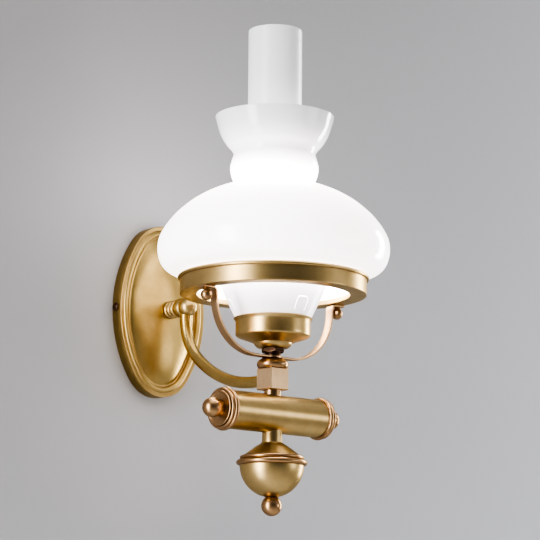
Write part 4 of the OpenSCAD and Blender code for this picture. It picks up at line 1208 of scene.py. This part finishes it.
def softbox(name, around, rise, distance, width, height, power, tint="#ffffff", aim_z=-20.0):
    """A soft light, placed by degrees to the right of the camera and degrees above level."""
    back, right, _ = photo_axes()
    a, e = math.radians(around), math.radians(rise)
    out = (back * math.cos(a) + right * math.sin(a)) * math.cos(e) + Vector((0, 0, math.sin(e)))
    data = bpy.data.lights.new(name, "AREA")
    data.shape = "RECTANGLE"
    data.size, data.size_y = width, height
    data.energy = power
    data.color = linear(tint)
    lamp = bpy.data.objects.new(name, data)
    bpy.context.scene.collection.objects.link(lamp)
    aim = Vector((0, -sizes()["reach"] * MM, aim_z * MM))
    lamp.location = aim + out * distance
    lamp.rotation_mode = "QUATERNION"
    lamp.rotation_quaternion = out.to_track_quat("Z", "Y")
    lamp.visible_camera = False
    return lamp


def one_sided(name, base):
    """Matt paint that is clear from behind, with painted shade that makes it a little darker and warmer to
    the left and above.
    """
    made = moulded(name, base, base, 0.7, 5.0, depth_mm=0.02)
    tree = made.node_tree
    place = put(tree, "ShaderNodeTexCoord")
    # Painted shade: the paint's colour turns darker and warmer to the left and towards the top.
    slope = put(tree, "ShaderNodeVectorMath", {"operation": "DOT_PRODUCT"},
                {0: place.outputs["Object"], 1: (1.0, 0.0, -1.2)})
    painted_shade_tone = blend_tones(tree, ranged(tree, slope.outputs["Value"], -0.43, 0.7, 0.0, 1.0),
                        (base[0] * 0.62, base[1] * 0.59, base[2] * 0.56, 1.0), base)
    seen = put(tree, "ShaderNodeNewGeometry")
    clear = put(tree, "ShaderNodeBsdfTransparent")
    paint = next(n for n in tree.nodes if n.type == "BSDF_PRINCIPLED")
    both = put(tree, "ShaderNodeMixShader", None,
               {0: seen.outputs["Backfacing"], 1: paint.outputs[0], 2: clear.outputs[0]})
    tree.links.new(painted_shade_tone, paint.inputs["Base Color"])
    out = next(n for n in tree.nodes if n.type == "OUTPUT_MATERIAL")
    tree.links.new(both.outputs[0], out.inputs["Surface"])
    return made


class LAMP_OT_studio(bpy.types.Operator):
    """Set the pale floor, the soft lights and the camera"""

    bl_idname = "lamp.studio"
    bl_label = "Studio"

    def execute(self, context):
        scene = bpy.context.scene
        s = sizes()
        scene.view_settings.view_transform = "AgX"
        scene.view_settings.look = "AgX - High Contrast"
        scene.view_settings.exposure = 0.5
        back, right, look = photo_axes()
        data = bpy.data.cameras.new("photo camera")
        data.lens, data.sensor_width = 158.2, 36.0
        camera = bpy.data.objects.new("photo camera", data)
        scene.collection.objects.link(camera)
        scene.camera = camera
        up = right.cross(look)
        turn = Matrix((right, up, -look)).transposed()
        roll = Matrix.Rotation(math.radians(PHOTO_ROLL), 3, "Z")
        camera.rotation_mode = "QUATERNION"
        camera.rotation_quaternion = (turn @ roll).to_quaternion()
        camera.location = (Vector((0, -s["reach"], 0)) + back * 1946 + Vector((0, 0, -333))
                           - right * 2.9) * MM
        data.clip_end = 60

        world = bpy.data.worlds.new("studio room")
        scene.world = world
        world.use_nodes = True
        tree = world.node_tree
        tree.nodes.clear()
        place = put(tree, "ShaderNodeTexCoord")
        parts = put(tree, "ShaderNodeSeparateXYZ", None, {0: place.outputs["Object"]})
        rise = ranged(tree, parts.outputs[2], -1.0, 1.0, 0.0, 1.0)
        shade = put(tree, "ShaderNodeValToRGB", None, {0: rise})
        room = colour("room")
        stops = shade.color_ramp.elements
        stops[0].position, stops[0].color = 0.0, [c * 1.1 for c in room[:3]] + [1]
        stops[1].position, stops[1].color = 1.0, [c * 2.2 for c in room[:3]] + [1]
        for spot, level in ((0.42, 1.1), (0.5, 1.0), (0.62, 1.0), (0.8, 1.6), (0.92, 2.2)):
            stop = stops.new(spot)
            stop.color = [c * level for c in room[:3]] + [1]
        # The room's dark side lies behind the camera.
        dark = Matrix.Rotation(math.radians(PHOTO_TURN + 12), 3, "Z") @ Vector((0, -1, 0.1))
        near = put(tree, "ShaderNodeVectorMath", {"operation": "DOT_PRODUCT"},
                   {0: place.outputs["Object"], 1: dark})
        level = ranged(tree, near.outputs["Value"], 0.6, 0.94, 1.0, 0.3)
        glow = put(tree, "ShaderNodeBackground", None, {0: shade.outputs[0], 1: level})
        put(tree, "ShaderNodeOutputWorld", None, {0: glow.outputs[0]})

        mesh = bpy.data.meshes.new("floor")
        wide, low = 6.0, -1.25
        mesh.from_pydata([(-wide, -wide, low), (wide, -wide, low), (wide, wide, low),
                          (-wide, wide, low)], [], [(0, 1, 2, 3)])
        floor = bpy.data.objects.new("floor", mesh)
        scene.collection.objects.link(floor)
        mesh.materials.append(moulded("painted floor", (*linear("#d6d5d2"), 1),
                                      (*linear("#cbcac7"), 1), 0.6, 4.0))

        # The wall is seen from its front only and is open behind the plate, so that the lamp's
        # back stays in sight and in the light.
        mesh = bpy.data.meshes.new("wall")
        work = bmesh.new()
        opening = [(x * MM, z * MM) for x, z, _ in oval_loop(s, s["plate_end"] - 2.0, 0)]
        for line in ([(-3.5, low), (3.5, low), (3.5, 2.2), (-3.5, 2.2)], opening):
            spots = [work.verts.new((x, 0.0006, z)) for x, z in line]
            for k, spot in enumerate(spots):
                work.edges.new((spots[k - 1], spot))
        bmesh.ops.triangle_fill(work, edges=work.edges, use_beauty=True, normal=(0, -1, 0))
        bmesh.ops.reverse_faces(work, faces=[f for f in work.faces if f.normal.y > 0])
        work.to_mesh(mesh)
        work.free()
        wall = bpy.data.objects.new("wall", mesh)
        scene.collection.objects.link(wall)
        mesh.materials.append(one_sided("painted wall", colour("wall")))

        softbox("window light", -50, 0, 1.7, 0.85, 1.5, 34)
        softbox("side light", 82, -3, 1.6, 0.65, 0.45, 2.2)
        softbox("rim light", 132, 5, 1.6, 0.4, 1.2, 18)
        softbox("top light", 5, 62, 1.5, 1.1, 1.1, 3.5)
        softbox("low light", -58, -42, 1.7, 1.0, 1.2, 14)
        return {"FINISHED"}


# ---------------------------------------------------------------- panel and run


STEPS = (
    LAMP_OT_wall_plate, LAMP_OT_plate_screws, LAMP_OT_hidden_fixings, LAMP_OT_arm, LAMP_OT_stem,
    LAMP_OT_bow, LAMP_OT_shade_ring, LAMP_OT_cup, LAMP_OT_bulb, LAMP_OT_chimney, LAMP_OT_shade,
    LAMP_OT_barrel, LAMP_OT_bowl, LAMP_OT_studio,
)


class LAMP_PT_panel(bpy.types.Panel):
    """Lists the lamp's pieces, sizes and colours"""

    bl_idname = "LAMP_PT_panel"
    bl_label = "Wall lamp"
    bl_space_type = "VIEW_3D"
    bl_region_type = "UI"
    bl_category = "Wall lamp"

    def draw(self, context):
        for step in STEPS:
            self.layout.operator(step.bl_idname)
        for group, kind in (("lamp_sizes", LampSizes), ("lamp_colours", LampColours)):
            column = self.layout.column(align=True)
            for name in kind.__annotations__:
                column.prop(getattr(context.scene, group), name)


CLASSES = (LampSizes, LampColours, *STEPS, LAMP_PT_panel)


def register():
    for kind in CLASSES:
        bpy.utils.register_class(kind)
    bpy.types.Scene.lamp_sizes = bpy.props.PointerProperty(type=LampSizes)
    bpy.types.Scene.lamp_colours = bpy.props.PointerProperty(type=LampColours)


def unregister():
    del bpy.types.Scene.lamp_colours
    del bpy.types.Scene.lamp_sizes
    for kind in reversed(CLASSES):
        bpy.utils.unregister_class(kind)


def main():
    register()
    for step in STEPS:
        family, name = step.bl_idname.split(".")
        getattr(getattr(bpy.ops, family), name)()
    bpy.context.view_layer.update()


if __name__ == "__main__":
    main()
